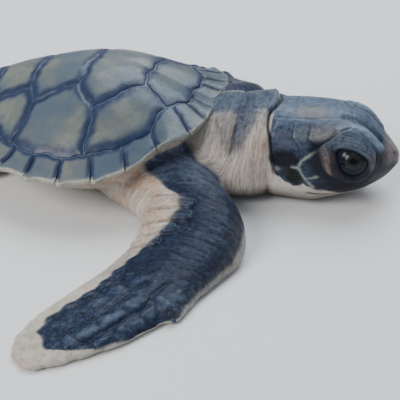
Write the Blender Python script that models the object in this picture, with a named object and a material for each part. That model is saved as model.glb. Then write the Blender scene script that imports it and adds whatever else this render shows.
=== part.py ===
"""Flatback sea turtle hatchling (Natator depressus), life size, as a still museum model.

Frame: +X towards the head, +Y to the animal's left, +Z up, Z = 0 the floor it lies on,
origin on the floor under the middle of the belly. The driving sizes below are in millimetres.
"""
from math import atan2, copysign, cos, degrees, exp, hypot, pi, radians, sin

import bmesh
import bpy
from mathutils import Matrix, Vector

MM = 0.001                       # one millimetre in metres
GAP = 0.3                        # clearance between neighbouring pieces

# Carapace: radius of its rim in plan, every 15 degrees from the nape to the tail.
RIM_STEP = radians(15)
RIM_RADII = (25.2, 27.0, 28.2, 27.7, 27.5, 27.2, 26.5, 26.0, 26.0, 26.5, 27.8, 30.0, 32.2)
RIM_HEIGHT = 8.0                 # rim above the floor at mid length
RIM_SLOPE = 0.111                # the rim rises towards the neck ...
RIM_BOW = 0.009                  # ... and bows up at both ends
CROWN = 14.3                     # dome above the rim
SHOULDER_LIFT = 1.6              # the rim arches over each shoulder
SHOULDER_X = 20.0
FLARE = 1.4                      # the rim turns up along each flank
FLARE_AT = 105                   # degrees from the nape at the middle of the flank
FLARE_SPREAD = 30                # degrees either way over which it fades
RIM_REACH = 8                    # power of the share that keeps arch and flare at the rim
SHOULDER_SPREAD = 2.8
PLATE = 0.85                     # thickness of a horny plate
SEAM = 0.3                       # width of the seam between plates
PUFF = 0.35                      # how far each plate bulges between its seams
SHOULDER = 0.7                   # about twice how far in from its seams a plate is at full height
SIDE_STEP = 4.5                  # longest straight side of a plate's outline
BED = 0.4                        # extra room under the plates, for their flat facets
RIM_RING = 0.83                  # inner border of the marginal plates, as a share of the rim
SERRATION = 0.9                  # how far each marginal's rear corner stands out

# Plastron: the flat belly shield that the animal rests on.
PLASTRON_SHARE = 0.58
PLASTRON_THICK = 1.5

# Head: it is held level and a little to the animal's right.
HEAD_YAW = radians(-0.6)
HEAD_PIVOT = (37.4, -1.4)
NECK_TURN = 30.0                 # the neck starts to turn with the head here
MOUTH_CORNER = 44.6
EYE_RADIUS = 3.8
EYE_PLACE = (52.4, 5.6, 9.9)    # forward, half the eye spacing, up, before the yaw

# Front flippers: the left one is swept a little further back than the right one.
ELBOW_CUT = 27.5
LEFT_SWEEP = radians(20)
SHOULDER_PIVOT = (19.0, 13.0)


# ---------------------------------------------------------------- collections and materials

def new_collection(name):
    """Make a collection in the scene."""
    collection = bpy.data.collections.new(name)
    bpy.context.scene.collection.children.link(collection)
    return collection


def material(name, colour, roughness):
    """Make a plain Principled material."""
    made = bpy.data.materials.new(name)
    made.use_nodes = True
    shader = made.node_tree.nodes["Principled BSDF"]
    shader.inputs["Base Color"].default_value = (*colour, 1.0)
    shader.inputs["Roughness"].default_value = roughness
    shader.inputs["Metallic"].default_value = 0.0
    return made


def add_object(name, bm, look, collection):
    """Turn a bmesh in millimetres into an object in metres, smooth with sharp creases."""
    bmesh.ops.scale(bm, vec=(MM, MM, MM), verts=bm.verts)
    if all(edge.is_manifold for edge in bm.edges):
        bmesh.ops.recalc_face_normals(bm, faces=bm.faces)
    mesh = bpy.data.meshes.new(name)
    bm.to_mesh(mesh)
    bm.free()
    mesh.shade_smooth()
    mesh.set_sharp_from_angle(angle=radians(50))
    mesh.materials.append(look)
    obj = bpy.data.objects.new(name, mesh)
    collection.objects.link(obj)
    return obj


# ---------------------------------------------------------------- curves and sections

def along(stations, place):
    """Read a smooth curve through stations, each a tuple, at a place from 0 to 1."""
    last = len(stations) - 1
    at = min(max(place, 0.0), 1.0) * last
    i = min(int(at), last - 1)
    t = at - i
    before, here = stations[max(i - 1, 0)], stations[i]
    after, beyond = stations[i + 1], stations[min(i + 2, last)]
    return tuple(
        p1 + 0.5 * t * (p2 - p0 + t * (2 * p0 - 5 * p1 + 4 * p2 - p3 + t * (3 * (p1 - p2) + p3 - p0)))
        for p0, p1, p2, p3 in zip(before, here, after, beyond)
    )


def power(value, exponent):
    """Raise the size of a number to a power and keep its sign."""
    return copysign(abs(value) ** exponent, value)


def section(half_width, top, bottom, widest, round_up, round_down, count):
    """Points (across, up) of a body section: a superellipse above and another below."""
    points = []
    for k in range(count):
        angle = 2 * pi * (k + 0.5) / count
        up = sin(angle) > 0
        exponent = 2.0 / (round_up if up else round_down)
        height = (top - widest) if up else (widest - bottom)
        across = half_width * power(cos(angle), exponent)
        points.append((across, widest + height * power(sin(angle), exponent)))
    return points


def loft(rings):
    """Skin a row of equal rings and close both ends."""
    bm = bmesh.new()
    rows = [[bm.verts.new(point) for point in ring] for ring in rings]
    count = len(rings[0])
    for low, high in zip(rows, rows[1:]):
        for k in range(count):
            bm.faces.new((low[k], low[(k + 1) % count], high[(k + 1) % count], high[k]))
    for row in (rows[0], rows[-1]):
        cap = bm.faces.new(row)
        bmesh.ops.poke(bm, faces=[cap])
    return bm


def cut(obj, cutter, operation="DIFFERENCE"):
    """Cut an object with a cutter and keep the result in its mesh."""
    modifier = obj.modifiers.new("cut", "BOOLEAN")
    modifier.operation = operation
    modifier.solver = "EXACT"
    modifier.object = cutter


def as_cutter(obj):
    """Show an object as a wire guide only."""
    obj.hide_render = True
    obj.display_type = "WIRE"
    return obj


# ---------------------------------------------------------------- the form of the shell

def rim_radius(angle):
    """Radius of the carapace rim in plan at an angle from the nape."""
    return along([(radius,) for radius in RIM_RADII], abs(angle) / pi)[0]


def dome(x, y, limit=1.0):
    """Height of the carapace over a point in plan."""
    angle = atan2(y, x)
    share = min(hypot(x, y) / rim_radius(angle), limit)
    base = RIM_HEIGHT + RIM_SLOPE * (x - 1.9) + RIM_BOW * (x - 1.9) ** 2
    arch = SHOULDER_LIFT * exp(-((x - SHOULDER_X) / SHOULDER_SPREAD) ** 2)
    flare = FLARE * exp(-((abs(degrees(angle)) - FLARE_AT) / FLARE_SPREAD) ** 2)
    return base + CROWN * max(1 - share ** 2.09, 0.0) ** 1.32 + (arch + flare) * share ** RIM_REACH


def rim_point(angle, share):
    """Point in plan at a share of the rim radius."""
    radius = rim_radius(angle) * share
    return radius * cos(angle), radius * sin(angle)


def shell_ring(share, drop, count, grow=0.0):
    """Ring of points on the dome, lowered by a drop and grown outwards."""
    ring = []
    for k in range(count):
        angle = 2 * pi * k / count
        angle = angle - 2 * pi if angle > pi else angle
        x, y = rim_point(angle, share)
        reach = 1 + grow / hypot(x, y)
        ring.append((x * reach, y * reach, dome(x, y) - drop))
    return ring


def flat_ring(share, height, count, grow=0.0):
    """Level ring of the rim's outline at a share of its size."""
    return [(x, y, height) for x, y, _ in shell_ring(share, 0.0, count, grow)]


# ---------------------------------------------------------------- trunk and plastron

def trunk_rings(count, grow, foot):
    """Rings of the trunk, from the belly up the flank and over the back."""
    belly = PLASTRON_THICK + GAP - grow
    under = PLATE + BED + GAP - grow
    rings = [
        flat_ring(0.30, belly - foot, count),
        flat_ring(0.59, belly - foot, count, grow),
        flat_ring(0.70, 3.0, count, grow),
        flat_ring(0.81, 5.0, count, grow),
        shell_ring(0.90, 1.9, count, grow),
        shell_ring(0.895, under, count, grow),
    ]
    rings += [shell_ring(share, under, count) for share in (0.78, 0.62, 0.42, 0.2)]
    return rings


def make_trunk(collection, cutters, look):
    """Flesh and bone inside the shell, and a grown copy, down past the plastron, as a cutter."""
    trunk = add_object("trunk", loft(trunk_rings(32, 0.0, 0.0)), look, collection)
    foot = 2 * PLASTRON_THICK
    room = as_cutter(add_object("trunk_room", loft(trunk_rings(32, GAP, foot)), look, cutters))
    return trunk, room


def make_shell_room(cutters, look):
    """Guide solid of the space that the plates take up, clear of the flesh by the gap."""
    count = 48
    under = PLATE + BED + GAP
    rings = [shell_ring(share, under, count) for share in (0.25, 0.5, 0.7, 0.85, 0.97)]
    rings.append(shell_ring(1.0, under, count, 1.5))
    rings.append([(x, y, 40.0) for x, y, _ in rings[-1]])
    rings.append([(x, y, 40.0) for x, y, _ in rings[0]])
    return as_cutter(add_object("shell_room", loft(rings), look, cutters))


def make_plastron(collection, look):
    """Belly shield: a level plate with a rounded edge, flat underneath."""
    count = 24
    rings = [
        flat_ring(PLASTRON_SHARE * 0.4, 0.0, count),
        flat_ring(PLASTRON_SHARE - 0.03, 0.0, count),
        flat_ring(PLASTRON_SHARE, 0.5, count),
        flat_ring(PLASTRON_SHARE, 1.1, count),
        flat_ring(PLASTRON_SHARE - 0.02, PLASTRON_THICK, count),
        flat_ring(PLASTRON_SHARE * 0.4, PLASTRON_THICK, count),
    ]
    return add_object("plastron", loft(rings), look, collection)


# ---------------------------------------------------------------- horny plates of the carapace

# Seams between the marginals: angle at the rim and at the inner border, in degrees.
MARGINAL_SEAMS = (
    (9, 9), (20, 16), (31, 25), (45, 43), (57.5, 56), (70.5, 70), (84, 84), (98, 98),
    (112, 110), (126, 126), (141, 143), (158, 156), (180, 180),
)
# Inner corners of the plates on one side, (forward, outward), and the stretch of the
# marginals' inner border that each plate meets, in degrees.
VERTEBRALS = (
    (((13.1, 6.3), (12.4, 0.0)), (0, 29)),
    (((12.4, 0.0), (13.1, 6.3), (5.6, 14.2), (1.2, 9.4), (1.3, 0.0)), None),
    (((1.3, 0.0), (1.2, 9.4), (-7.2, 12.2), (-9.5, 8.8), (-9.7, 0.0)), None),
    (((-9.7, 0.0), (-9.5, 8.8), (-16.6, 9.9), (-19.3, 6.3), (-19.3, 0.0)), None),
    (((-19.3, 0.0), (-19.3, 6.3)), (160, 180)),
)
COSTALS = (
    (((5.6, 14.2), (13.1, 6.3)), (29, 74)),
    (((-7.2, 12.2), (1.2, 9.4), (5.6, 14.2)), (74, 114)),
    (((-16.6, 9.9), (-9.5, 8.8), (-7.2, 12.2)), (114, 139)),
    (((-19.3, 6.3), (-16.6, 9.9)), (139, 160)),
)
TOOTHED = (60, 179)              # the stretch of rim, in degrees, whose marginals have a tooth
PLAIN_EDGE = ((1.0, 0.0), (0.5, 0.0), (0.0, 0.0))


def border_path(first, last):
    """Corners of the marginals' inner border between two angles; it dips beside the nape."""
    met = [inner for _, inner in MARGINAL_SEAMS] + [end for _, ends in COSTALS for end in ends]
    nodes = sorted({0.0, float(first), float(last)} | {float(a) for a in met})
    path = []
    for degrees in nodes:
        if first <= degrees <= last:
            share = RIM_RING - 0.10 * exp(-((degrees - 29) / 8) ** 2)
            x, y = rim_point(radians(degrees), share)
            path.append((x, 0.0 if degrees in (0.0, 180.0) else y))
    return path


def with_short_sides(outline):
    """Divide the long sides of an outline evenly, so that it can follow the dome."""
    points = []
    for (x, y), (next_x, next_y) in zip(outline, outline[1:] + outline[:1]):
        parts = max(1, round(hypot(next_x - x, next_y - y) / SIDE_STEP))
        for k in range(parts):
            points.append((x + (next_x - x) * k / parts, y + (next_y - y) * k / parts))
    return points


def plate(name, outline, look, collection, wall=PLATE):
    """One horny plate: its outline shrunk by the seam, domed, puffed and given a thickness."""
    bm = bmesh.new()
    face = bm.faces.new([bm.verts.new((x, y, 0.0)) for x, y in with_short_sides(outline)])
    face.normal_update()
    if face.normal.z < 0:
        face.normal_flip()
    settings = {"use_boundary": True, "use_even_offset": True}
    margin = bmesh.ops.inset_region(bm, faces=[face], thickness=SEAM / 2, **settings)
    bmesh.ops.delete(bm, geom=margin["faces"], context="FACES")
    edge = set(bm.verts)
    size = face.calc_area() ** 0.5
    bmesh.ops.inset_region(bm, faces=[face], thickness=0.0, **settings)
    share = 1 - min(SHOULDER / size, 0.4)
    middle = face.calc_center_median()
    for vert in face.verts:
        vert.co = middle + (vert.co - middle) * share
    inner = bmesh.ops.poke(bm, faces=[face])
    crown = set(inner["verts"])
    for vert in bm.verts:
        puff = 0.0 if vert in edge else PUFF
        vert.co.z = dome(vert.co.x, vert.co.y) + (puff if vert not in crown else PUFF * 1.15)
    under = bmesh.ops.extrude_face_region(bm, geom=bm.faces[:])
    for vert in under["geom"]:
        if isinstance(vert, bmesh.types.BMVert):
            vert.co.z -= wall
    bmesh.ops.triangulate(bm, faces=bm.faces[:])
    return add_object(name, bm, look, collection)


def mirror_outline(half):
    """Close a half outline across the midline."""
    return list(half) + [(x, -y) for x, y in reversed(half) if y > 0]


def make_vertebrals(collection, look):
    """The row of five plates down the middle of the back."""
    for number, (corners, stretch) in enumerate(VERTEBRALS, start=1):
        border = border_path(*stretch) if stretch else []
        half = border + list(corners) if number == 1 else list(corners) + border
        plate(f"vertebral_{number}", mirror_outline(half), look, collection)


def make_costals(collection, look):
    """The four big plates on each flank."""
    for number, (corners, stretch) in enumerate(COSTALS, start=1):
        outline = list(corners) + border_path(*stretch)
        plate(f"costal_left_{number}", outline, look, collection)
        plate(f"costal_right_{number}", [(x, -y) for x, y in outline], look, collection)


def marginal_outline(front, rear):
    """Outline of one marginal, with its rear corner drawn out into a small tooth."""
    points = border_path(front[1], rear[1])
    toothed = TOOTHED[0] < rear[0] < TOOTHED[1]
    outer = ((1.0, 0.0), (0.88, SERRATION), (0.5, 0.0), (0.0, 0.0)) if toothed else PLAIN_EDGE
    for share_along, tooth in outer:
        angle = front[0] + (rear[0] - front[0]) * share_along
        x, y = rim_point(radians(angle), 1.0)
        reach = 1 + tooth / hypot(x, y)
        points.append((x * reach, y * reach))
    return points


def make_marginals(collection, look):
    """The nuchal over the neck and twelve marginals down each side of the rim."""
    nape = MARGINAL_SEAMS[0][0]
    half = border_path(0, nape) + [rim_point(radians(nape), 1.0), (rim_radius(0.0), 0.0)]
    plate("nuchal", mirror_outline(half), look, collection)
    for number, (front, rear) in enumerate(zip(MARGINAL_SEAMS, MARGINAL_SEAMS[1:]), start=1):
        outline = marginal_outline(front, rear)
        plate(f"marginal_left_{number}", outline, look, collection)
        plate(f"marginal_right_{number}", [(x, -y) for x, y in outline], look, collection)


# ---------------------------------------------------------------- neck and head

# Stations of the neck: forward, sideways, half width, top, bottom, widest height.
NECK = (
    (15.0, 0.0, 12.5, 13.5, 2.2, 7.0),
    (21.0, -0.3, 12.2, 14.8, 1.2, 6.6),
    (26.0, -1.1, 12.7, 16.0, 0.2, 5.6),
    (30.5, -1.4, 12.3, 17.0, 0.0, 5.5),
    (34.2, -1.5, 11.8, 18.0, 0.0, 5.9),
    (36.2, -1.4, 11.1, 18.3, 0.0, 6.4),
    (37.1, -1.4, 10.3, 17.6, 0.2, 6.8),
)
# Stations of the head before the yaw: forward, half width, top, bottom, widest height.
HEAD = (
    (37.4, 9.3, 16.2, 0.4, 7.2),
    (38.4, 9.7, 16.8, 0.0, 6.8),
    (41.0, 9.8, 17.2, 0.0, 6.7),
    (44.5, 9.7, 17.4, -0.1, 7.0),
    (48.0, 9.1, 17.4, 0.1, 8.0),
    (51.5, 8.5, 17.0, 1.0, 8.9),
    (54.5, 7.4, 15.9, 2.1, 9.2),
    (57.0, 5.8, 13.5, 3.2, 9.0),
    (59.2, 4.0, 11.4, 4.7, 8.6),
    (60.6, 2.5, 10.1, 6.2, 8.4),
    (61.3, 1.1, 9.3, 7.4, 8.4),
)


def turned(x, y, z, side=0.0):
    """Turn a point of the head about the top of the neck."""
    dx = x - HEAD_PIVOT[0]
    across = y + side
    return (
        HEAD_PIVOT[0] + dx * cos(HEAD_YAW) - across * sin(HEAD_YAW),
        HEAD_PIVOT[1] + dx * sin(HEAD_YAW) + across * cos(HEAD_YAW),
        z,
    )


def neck_rings(count, grow):
    """Rings of the neck, grown by a clearance where a cutter needs it."""
    rings = []
    steps = 10
    for k in range(steps + 1):
        x, side, half, top, bottom, widest = along(NECK, k / steps)
        turn = HEAD_YAW * max((x - NECK_TURN) / (NECK[-1][0] - NECK_TURN), 0.0)
        points = section(half + grow, top + grow, bottom - grow, widest, 2.2, 3.2, count)
        rings.append([(x - y * sin(turn), side + y * cos(turn), max(z, 0.0)) for y, z in points])
    return rings


def make_neck(collection, cutters, look, rooms):
    """Neck with its collar behind the head."""
    neck = add_object("neck", loft(neck_rings(26, 0.0)), look, collection)
    for room in rooms:
        cut(neck, room)
    room = as_cutter(add_object("neck_room", loft(neck_rings(26, GAP)), look, cutters))
    return neck, room


def brow(x, y, z):
    """How far the lids swell outwards round each eye."""
    ex, ey, ez = EYE_PLACE
    near = exp(-(((x - ex) / 4.6) ** 2 + ((z - ez) / 4.4) ** 2))
    return 0.75 * near * min(abs(y) / ey, 1.0)


def head_mesh(count):
    """The head and lower jaw as one form."""
    rings = []
    steps = 20
    for k in range(steps + 1):
        x, half, top, bottom, widest = along(HEAD, k / steps)
        ring = []
        for y, z in section(half, top, bottom, widest, 2.7, 3.1, count):
            swell = brow(x, y, z)
            ring.append(turned(x, y + copysign(swell, y), max(z, 0.0)))
        rings.append(ring)
    return loft(rings)


def mouth_profile(clear):
    """Side profile of the jaw's space: below the mouth line and before its corner."""
    back = MOUTH_CORNER + clear
    line = ((back, 2.6), (48.0, 2.3), (52.0, 2.7), (55.5, 3.7), (58.5, 5.3), (60.5, 6.7), (63.0, 8.2))
    return [(back, -3.0)] + [(x, z - clear) for x, z in line] + [(63.0, -3.0)]


def jaw_cutter(name, clear, look, cutters):
    """Guide solid of the jaw's space, as wide as the head."""
    profile = mouth_profile(clear)
    rings = [[turned(x, side, z) for x, z in profile] for side in (-12.0, 12.0)]
    return as_cutter(add_object(name, loft(rings), look, cutters))


def eye_centre(side):
    """Middle of an eye, on the left for +1 and on the right for -1."""
    x, y, z = EYE_PLACE
    return Vector(turned(x, side * y, z))


def ball(name, centre, radius, rows, look, collection):
    """A sphere with its poles towards the sides."""
    bm = bmesh.new()
    place = Matrix.Translation(centre) @ Matrix.Rotation(pi / 2, 4, "X")
    bmesh.ops.create_uvsphere(bm, u_segments=rows, v_segments=rows // 2, radius=radius, matrix=place)
    return add_object(name, bm, look, collection)


def make_head(collection, cutters, looks):
    """Head with open eye sockets, the lower jaw below the mouth line, and both eyes."""
    head = add_object("head", head_mesh(28), looks["head"], collection)
    jaw = add_object("lower_jaw", head_mesh(28), looks["jaw"], collection)
    cut(head, jaw_cutter("jaw_room", -GAP / 2, looks["jaw"], cutters))
    cut(jaw, jaw_cutter("jaw_keep", GAP / 2, looks["jaw"], cutters), "INTERSECT")
    for side, word in ((1, "left"), (-1, "right")):
        centre = eye_centre(side)
        socket = ball(f"socket_{word}", centre, EYE_RADIUS + GAP, 20, looks["eye"], cutters)
        cut(head, as_cutter(socket))
        ball(f"eye_{word}", centre, EYE_RADIUS, 16, looks["eye"], collection)


# ---------------------------------------------------------------- front flippers

# Stations of a front limb: outward, leading edge, trailing edge, top, bottom,
# roundness of the top, how far the thick line lies towards the leading edge.
LIMB = (
    (11.0, 26.0, 3.0, 11.0, 2.5, 2.2, 0.0),
    (15.0, 29.5, 4.5, 10.6, 1.2, 2.2, 0.05),
    (18.0, 32.2, 7.4, 10.0, 0.5, 2.2, 0.15),
    (21.0, 34.6, 12.8, 9.2, 0.1, 2.2, 0.2),
    (24.0, 36.3, 17.0, 8.2, 0.0, 2.2, 0.2),
    (27.0, 37.1, 18.4, 7.0, 0.0, 2.2, 0.25),
    (30.0, 37.3, 18.6, 5.8, 0.0, 2.1, 0.3),
    (33.0, 36.8, 17.4, 4.9, 0.0, 2.0, 0.35),
    (37.0, 35.0, 15.8, 4.0, 0.0, 2.0, 0.35),
    (41.0, 32.5, 13.8, 3.4, 0.0, 2.0, 0.35),
    (44.6, 31.2, 12.0, 2.9, 0.0, 2.0, 0.3),
    (46.4, 29.0, 11.1, 2.7, 0.0, 2.0, 0.3),
    (49.3, 27.0, 9.7, 2.4, 0.0, 2.0, 0.3),
    (53.4, 23.4, 8.6, 2.0, 0.0, 2.0, 0.25),
    (56.4, 19.8, 8.8, 1.7, 0.0, 2.0, 0.15),
    (58.6, 16.8, 10.1, 1.3, 0.0, 2.0, 0.1),
    (59.8, 14.6, 12.0, 1.0, 0.0, 2.0, 0.0),
)
# Claw on the leading edge, (forward, outward, up), from its root to its tip.
CLAW_BASE = (30.5, 46.2, 0.8)
CLAW_TIP = (30.8, 47.4, 0.6)
CLAW_RADIUS = 0.45
LIMB_EDGE = 0.35                 # height of the widest line of the blade above its underside


def limb_ring(station, count):
    """One section of the front limb across its leading and trailing edges."""
    out, lead, trail, top, bottom, rounded, skew = station
    middle, half = (lead + trail) / 2, (lead - trail) / 2
    thick = top - bottom
    widest = bottom + max(LIMB_EDGE, 0.45 * (thick - 3.0))
    ring = []
    for across, z in section(half, top, bottom, widest, rounded, 3.4, count):
        share = across / half
        lift = (z - widest) * (1 + skew * share) if z > widest else z - widest
        ring.append((middle + across, out, max(widest + lift, 0.0)))
    return ring


def limb_point(point, side):
    """Put a point of the limb on its side of the body, with that side's sweep."""
    x, y, z = point
    if side < 0:
        return x, -y, z
    dx, dy = x - SHOULDER_PIVOT[0], y - SHOULDER_PIVOT[1]
    return (
        SHOULDER_PIVOT[0] + dx * cos(LEFT_SWEEP) - dy * sin(LEFT_SWEEP),
        SHOULDER_PIVOT[1] + dx * sin(LEFT_SWEEP) + dy * cos(LEFT_SWEEP),
        z,
    )


def limb_part(start, end, steps, side, count=22):
    """Loft of the front limb between two distances from the midline."""
    outs = [station[0] for station in LIMB]
    rings = []
    for k in range(steps + 1):
        out = start + (end - start) * k / steps
        i = max(j for j in range(len(outs) - 1) if outs[j] <= out)
        place = (i + (out - outs[i]) / (outs[i + 1] - outs[i])) / (len(outs) - 1)
        station = along(LIMB, place)
        rings.append([limb_point(point, side) for point in limb_ring((out, *station[1:]), count)])
    return loft(rings)


def make_front_flippers(collection, look, rooms):
    """Each front limb is an upper arm and a blade that lies flat on the floor."""
    for side, word in ((1, "left"), (-1, "right")):
        arm_form = limb_part(LIMB[0][0], ELBOW_CUT - GAP / 2, 8, side)
        arm = add_object(f"front_flipper_{word}_arm", arm_form, look, collection)
        for room in rooms:
            cut(arm, room)
        blade_form = limb_part(ELBOW_CUT + GAP / 2, LIMB[-1][0], 15, side)
        add_object(f"front_flipper_{word}_blade", blade_form, look, collection)


def make_claws(collection, look):
    """One small blunt claw on the leading edge of each front flipper."""
    for side, word in ((1, "left"), (-1, "right")):
        base = Vector(limb_point(CLAW_BASE, side))
        tip = Vector(limb_point(CLAW_TIP, side))
        length = (tip - base).length
        turn = (tip - base).to_track_quat("Z", "Y").to_matrix().to_4x4()
        place = Matrix.Translation((base + tip) / 2) @ turn
        bm = bmesh.new()
        bmesh.ops.create_cone(
            bm, cap_ends=True, segments=10, radius1=CLAW_RADIUS, radius2=CLAW_RADIUS * 0.3,
            depth=length, matrix=place,
        )
        add_object(f"claw_{word}", bm, look, collection)


# ---------------------------------------------------------------- rear flippers and tail

# Stations of a rear flipper along its length: distance, half width, top.
REAR = (
    (0.0, 4.2, 6.0), (4.0, 4.6, 5.4), (8.0, 5.4, 4.0), (12.0, 6.4, 2.9), (16.0, 6.9, 2.3),
    (20.0, 6.4, 1.9), (23.0, 4.8, 1.6), (24.6, 2.4, 1.2),
)
REAR_ROOT = (-18.5, 12.0)
REAR_ANGLE = radians(142)
TAIL = ((-24.0, 3.4, 6.4, 1.2), (-28.0, 2.8, 5.2, 0.6), (-31.5, 1.9, 3.4, 0.1), (-34.5, 0.8, 1.5, 0.0))


def make_rear_flippers(collection, look, rooms):
    """Paddle-shaped rear limbs spread back on the floor."""
    for side, word in ((1, "left"), (-1, "right")):
        rings = []
        steps = 10
        for k in range(steps + 1):
            reach, half, top = along(REAR, k / steps)
            ring = []
            for across, z in section(half, top, 0.0, max(0.35, 0.4 * (top - 2)), 2.0, 3.0, 16):
                x = REAR_ROOT[0] + reach * cos(REAR_ANGLE) - across * sin(REAR_ANGLE)
                y = REAR_ROOT[1] + reach * sin(REAR_ANGLE) + across * cos(REAR_ANGLE)
                ring.append((x, side * y, max(z, 0.0)))
            rings.append(ring)
        flipper = add_object(f"rear_flipper_{word}", loft(rings), look, collection)
        for room in rooms:
            cut(flipper, room)


def make_tail(collection, look, rooms):
    """Short tail below the rear notch of the shell."""
    rings = []
    steps = 6
    for k in range(steps + 1):
        x, half, top, bottom = along(TAIL, k / steps)
        points = section(half, top, bottom, (top + bottom) / 2, 2.0, 2.2, 14)
        rings.append([(x, y, max(z, 0.0)) for y, z in points])
    tail = add_object("tail", loft(rings), look, collection)
    for room in rooms:
        cut(tail, room)


# ---------------------------------------------------------------- the whole animal

def main():
    """Build every piece of the turtle."""
    for obj in list(bpy.data.objects):
        bpy.data.objects.remove(obj)
    turtle = new_collection("flatback_hatchling")
    cutters = new_collection("cutters")
    skin = material("skin", (0.20, 0.22, 0.25), 0.55)
    looks = {
        "head": material("head_scales", (0.22, 0.24, 0.25), 0.5),
        "jaw": material("jaw_sheath", (0.55, 0.51, 0.42), 0.5),
        "eye": material("eye", (0.02, 0.025, 0.035), 0.08),
    }
    horn = material("carapace_horn", (0.20, 0.22, 0.19), 0.4)
    belly = material("plastron_horn", (0.72, 0.68, 0.56), 0.5)
    trunk, trunk_room = make_trunk(turtle, cutters, skin)
    shell_room = make_shell_room(cutters, horn)
    make_plastron(turtle, belly)
    make_vertebrals(turtle, horn)
    make_costals(turtle, horn)
    make_marginals(turtle, horn)
    neck, neck_room = make_neck(turtle, cutters, skin, (trunk_room, shell_room))
    make_head(turtle, cutters, looks)
    make_front_flippers(turtle, skin, (trunk_room, shell_room, neck_room))
    make_claws(turtle, belly)
    make_rear_flippers(turtle, skin, (trunk_room, shell_room))
    make_tail(turtle, skin, (trunk_room, shell_room))


main()
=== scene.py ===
"""A flatback sea turtle hatchling as a still, life-size museum model: its looks."""
from math import cos, pi, radians, sin

import bpy
import numpy as np
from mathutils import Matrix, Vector


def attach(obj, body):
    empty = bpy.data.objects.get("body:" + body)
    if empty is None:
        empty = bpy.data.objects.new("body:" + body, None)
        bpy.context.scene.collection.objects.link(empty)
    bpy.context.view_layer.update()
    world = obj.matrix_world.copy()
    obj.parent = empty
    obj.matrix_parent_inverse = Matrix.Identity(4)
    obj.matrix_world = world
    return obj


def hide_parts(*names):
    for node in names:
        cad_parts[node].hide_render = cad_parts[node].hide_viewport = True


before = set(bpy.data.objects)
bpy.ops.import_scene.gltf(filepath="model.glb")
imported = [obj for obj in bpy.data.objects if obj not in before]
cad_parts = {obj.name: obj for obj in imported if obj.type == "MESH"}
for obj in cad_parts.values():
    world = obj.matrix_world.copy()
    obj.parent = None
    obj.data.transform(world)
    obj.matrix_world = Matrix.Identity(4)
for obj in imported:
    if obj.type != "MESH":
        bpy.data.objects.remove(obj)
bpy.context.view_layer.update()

# ---------------------------------------------------------------- bony shell under the plates
# The domed bone that carries the horny plates. It is one closed piece, grown onto the flesh
# below it, and shows only as a dark slate line where two plates meet.

MM = 0.001
RIM_RADII = (25.2, 27.0, 28.2, 27.7, 27.5, 27.2, 26.5, 26.0, 26.0, 26.5, 27.8, 30.0, 32.2)
RIM_HEIGHT = 8.0
RIM_SLOPE = 0.111
RIM_BOW = 0.009
RIM_REACH = 8
CROWN = 14.3
FLARE = 1.4
FLARE_AT = 105
FLARE_SPREAD = 30
SHOULDER_LIFT = 1.6
SHOULDER_X = 20
SHOULDER_SPREAD = 2.8
CROWN_SHARP = 2.09
CROWN_ROUND = 1.32
SHELL_MIDDLE = 1.9
BED_REACH = 0.955
BED_DROP = 0.16
BED_THICK = 1.5
EQUATOR = pi / 2 + 0.01


def through(stations, place):
    """Read a smooth curve through stations, given in even steps, at places from 0 to 1."""
    rows = np.array(stations, float).reshape(len(stations), -1)
    last = len(rows) - 1
    at = np.clip(place, 0, 1) * last
    i = np.minimum(at.astype(int), last - 1)
    t = (at - i)[..., None]
    p0, p1 = rows[np.maximum(i - 1, 0)], rows[i]
    p2, p3 = rows[i + 1], rows[np.minimum(i + 2, last)]
    bend = 2 * p0 - 5 * p1 + 4 * p2 - p3 + t * (3 * (p1 - p2) + p3 - p0)
    return p1 + 0.5 * t * (p2 - p0 + t * bend)


def step(low, high, value):
    """Rise smoothly from 0 at low to 1 at high."""
    t = np.clip((value - low) / (high - low), 0, 1)
    return t * t * (3 - 2 * t)


def bell(value, middle, width):
    """A smooth bump, 1 at its middle."""
    return np.exp(-((value - middle) / width) ** 2)


def rim_radius(angle):
    """Radius of the shell's rim in plan, in millimetres, at angles from the nape."""
    return through(RIM_RADII, np.abs(angle) / pi)[..., 0]


def rim_share(x, y):
    """How far out a place lies, 1 on the rim."""
    return np.hypot(x, y) / rim_radius(np.arctan2(y, x))


def dome(x, y):
    """Height of the shell over places in plan."""
    share = np.minimum(rim_share(x, y), 1)
    base = RIM_HEIGHT + RIM_SLOPE * (x - SHELL_MIDDLE) + RIM_BOW * (x - SHELL_MIDDLE) ** 2
    crown = CROWN * np.maximum(1 - share ** CROWN_SHARP, 0) ** CROWN_ROUND
    arch = SHOULDER_LIFT * bell(x, SHOULDER_X, SHOULDER_SPREAD) * share ** RIM_REACH
    flare = FLARE * bell(np.abs(np.degrees(np.arctan2(y, x))), FLARE_AT, FLARE_SPREAD)
    return base + crown + arch + flare * share ** RIM_REACH


def ball(name, segments, rings):
    """Add a ball as the closed start of a rounded piece."""
    bpy.ops.object.select_all(action="DESELECT")
    bpy.ops.mesh.primitive_uv_sphere_add(segments=segments, ring_count=rings, radius=1)
    obj = bpy.context.object
    obj.name = name
    obj.data.name = name
    return obj


def points_of(obj):
    """Places of a mesh's points as rows."""
    flat = np.empty(len(obj.data.vertices) * 3)
    obj.data.vertices.foreach_get("co", flat)
    return flat.reshape(-1, 3)


def ball_angles(obj):
    """Places of a new ball's points, with their angles from its top and round it."""
    start = points_of(obj)
    polar = np.arccos(np.clip(start[:, 2], -1, 1))
    return start, polar, np.arctan2(start[:, 1], start[:, 0])


def move_points(obj, places):
    """Move a mesh's points to places given in millimetres."""
    obj.data.vertices.foreach_set("co", (places * MM).ravel())
    obj.data.update()


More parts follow.
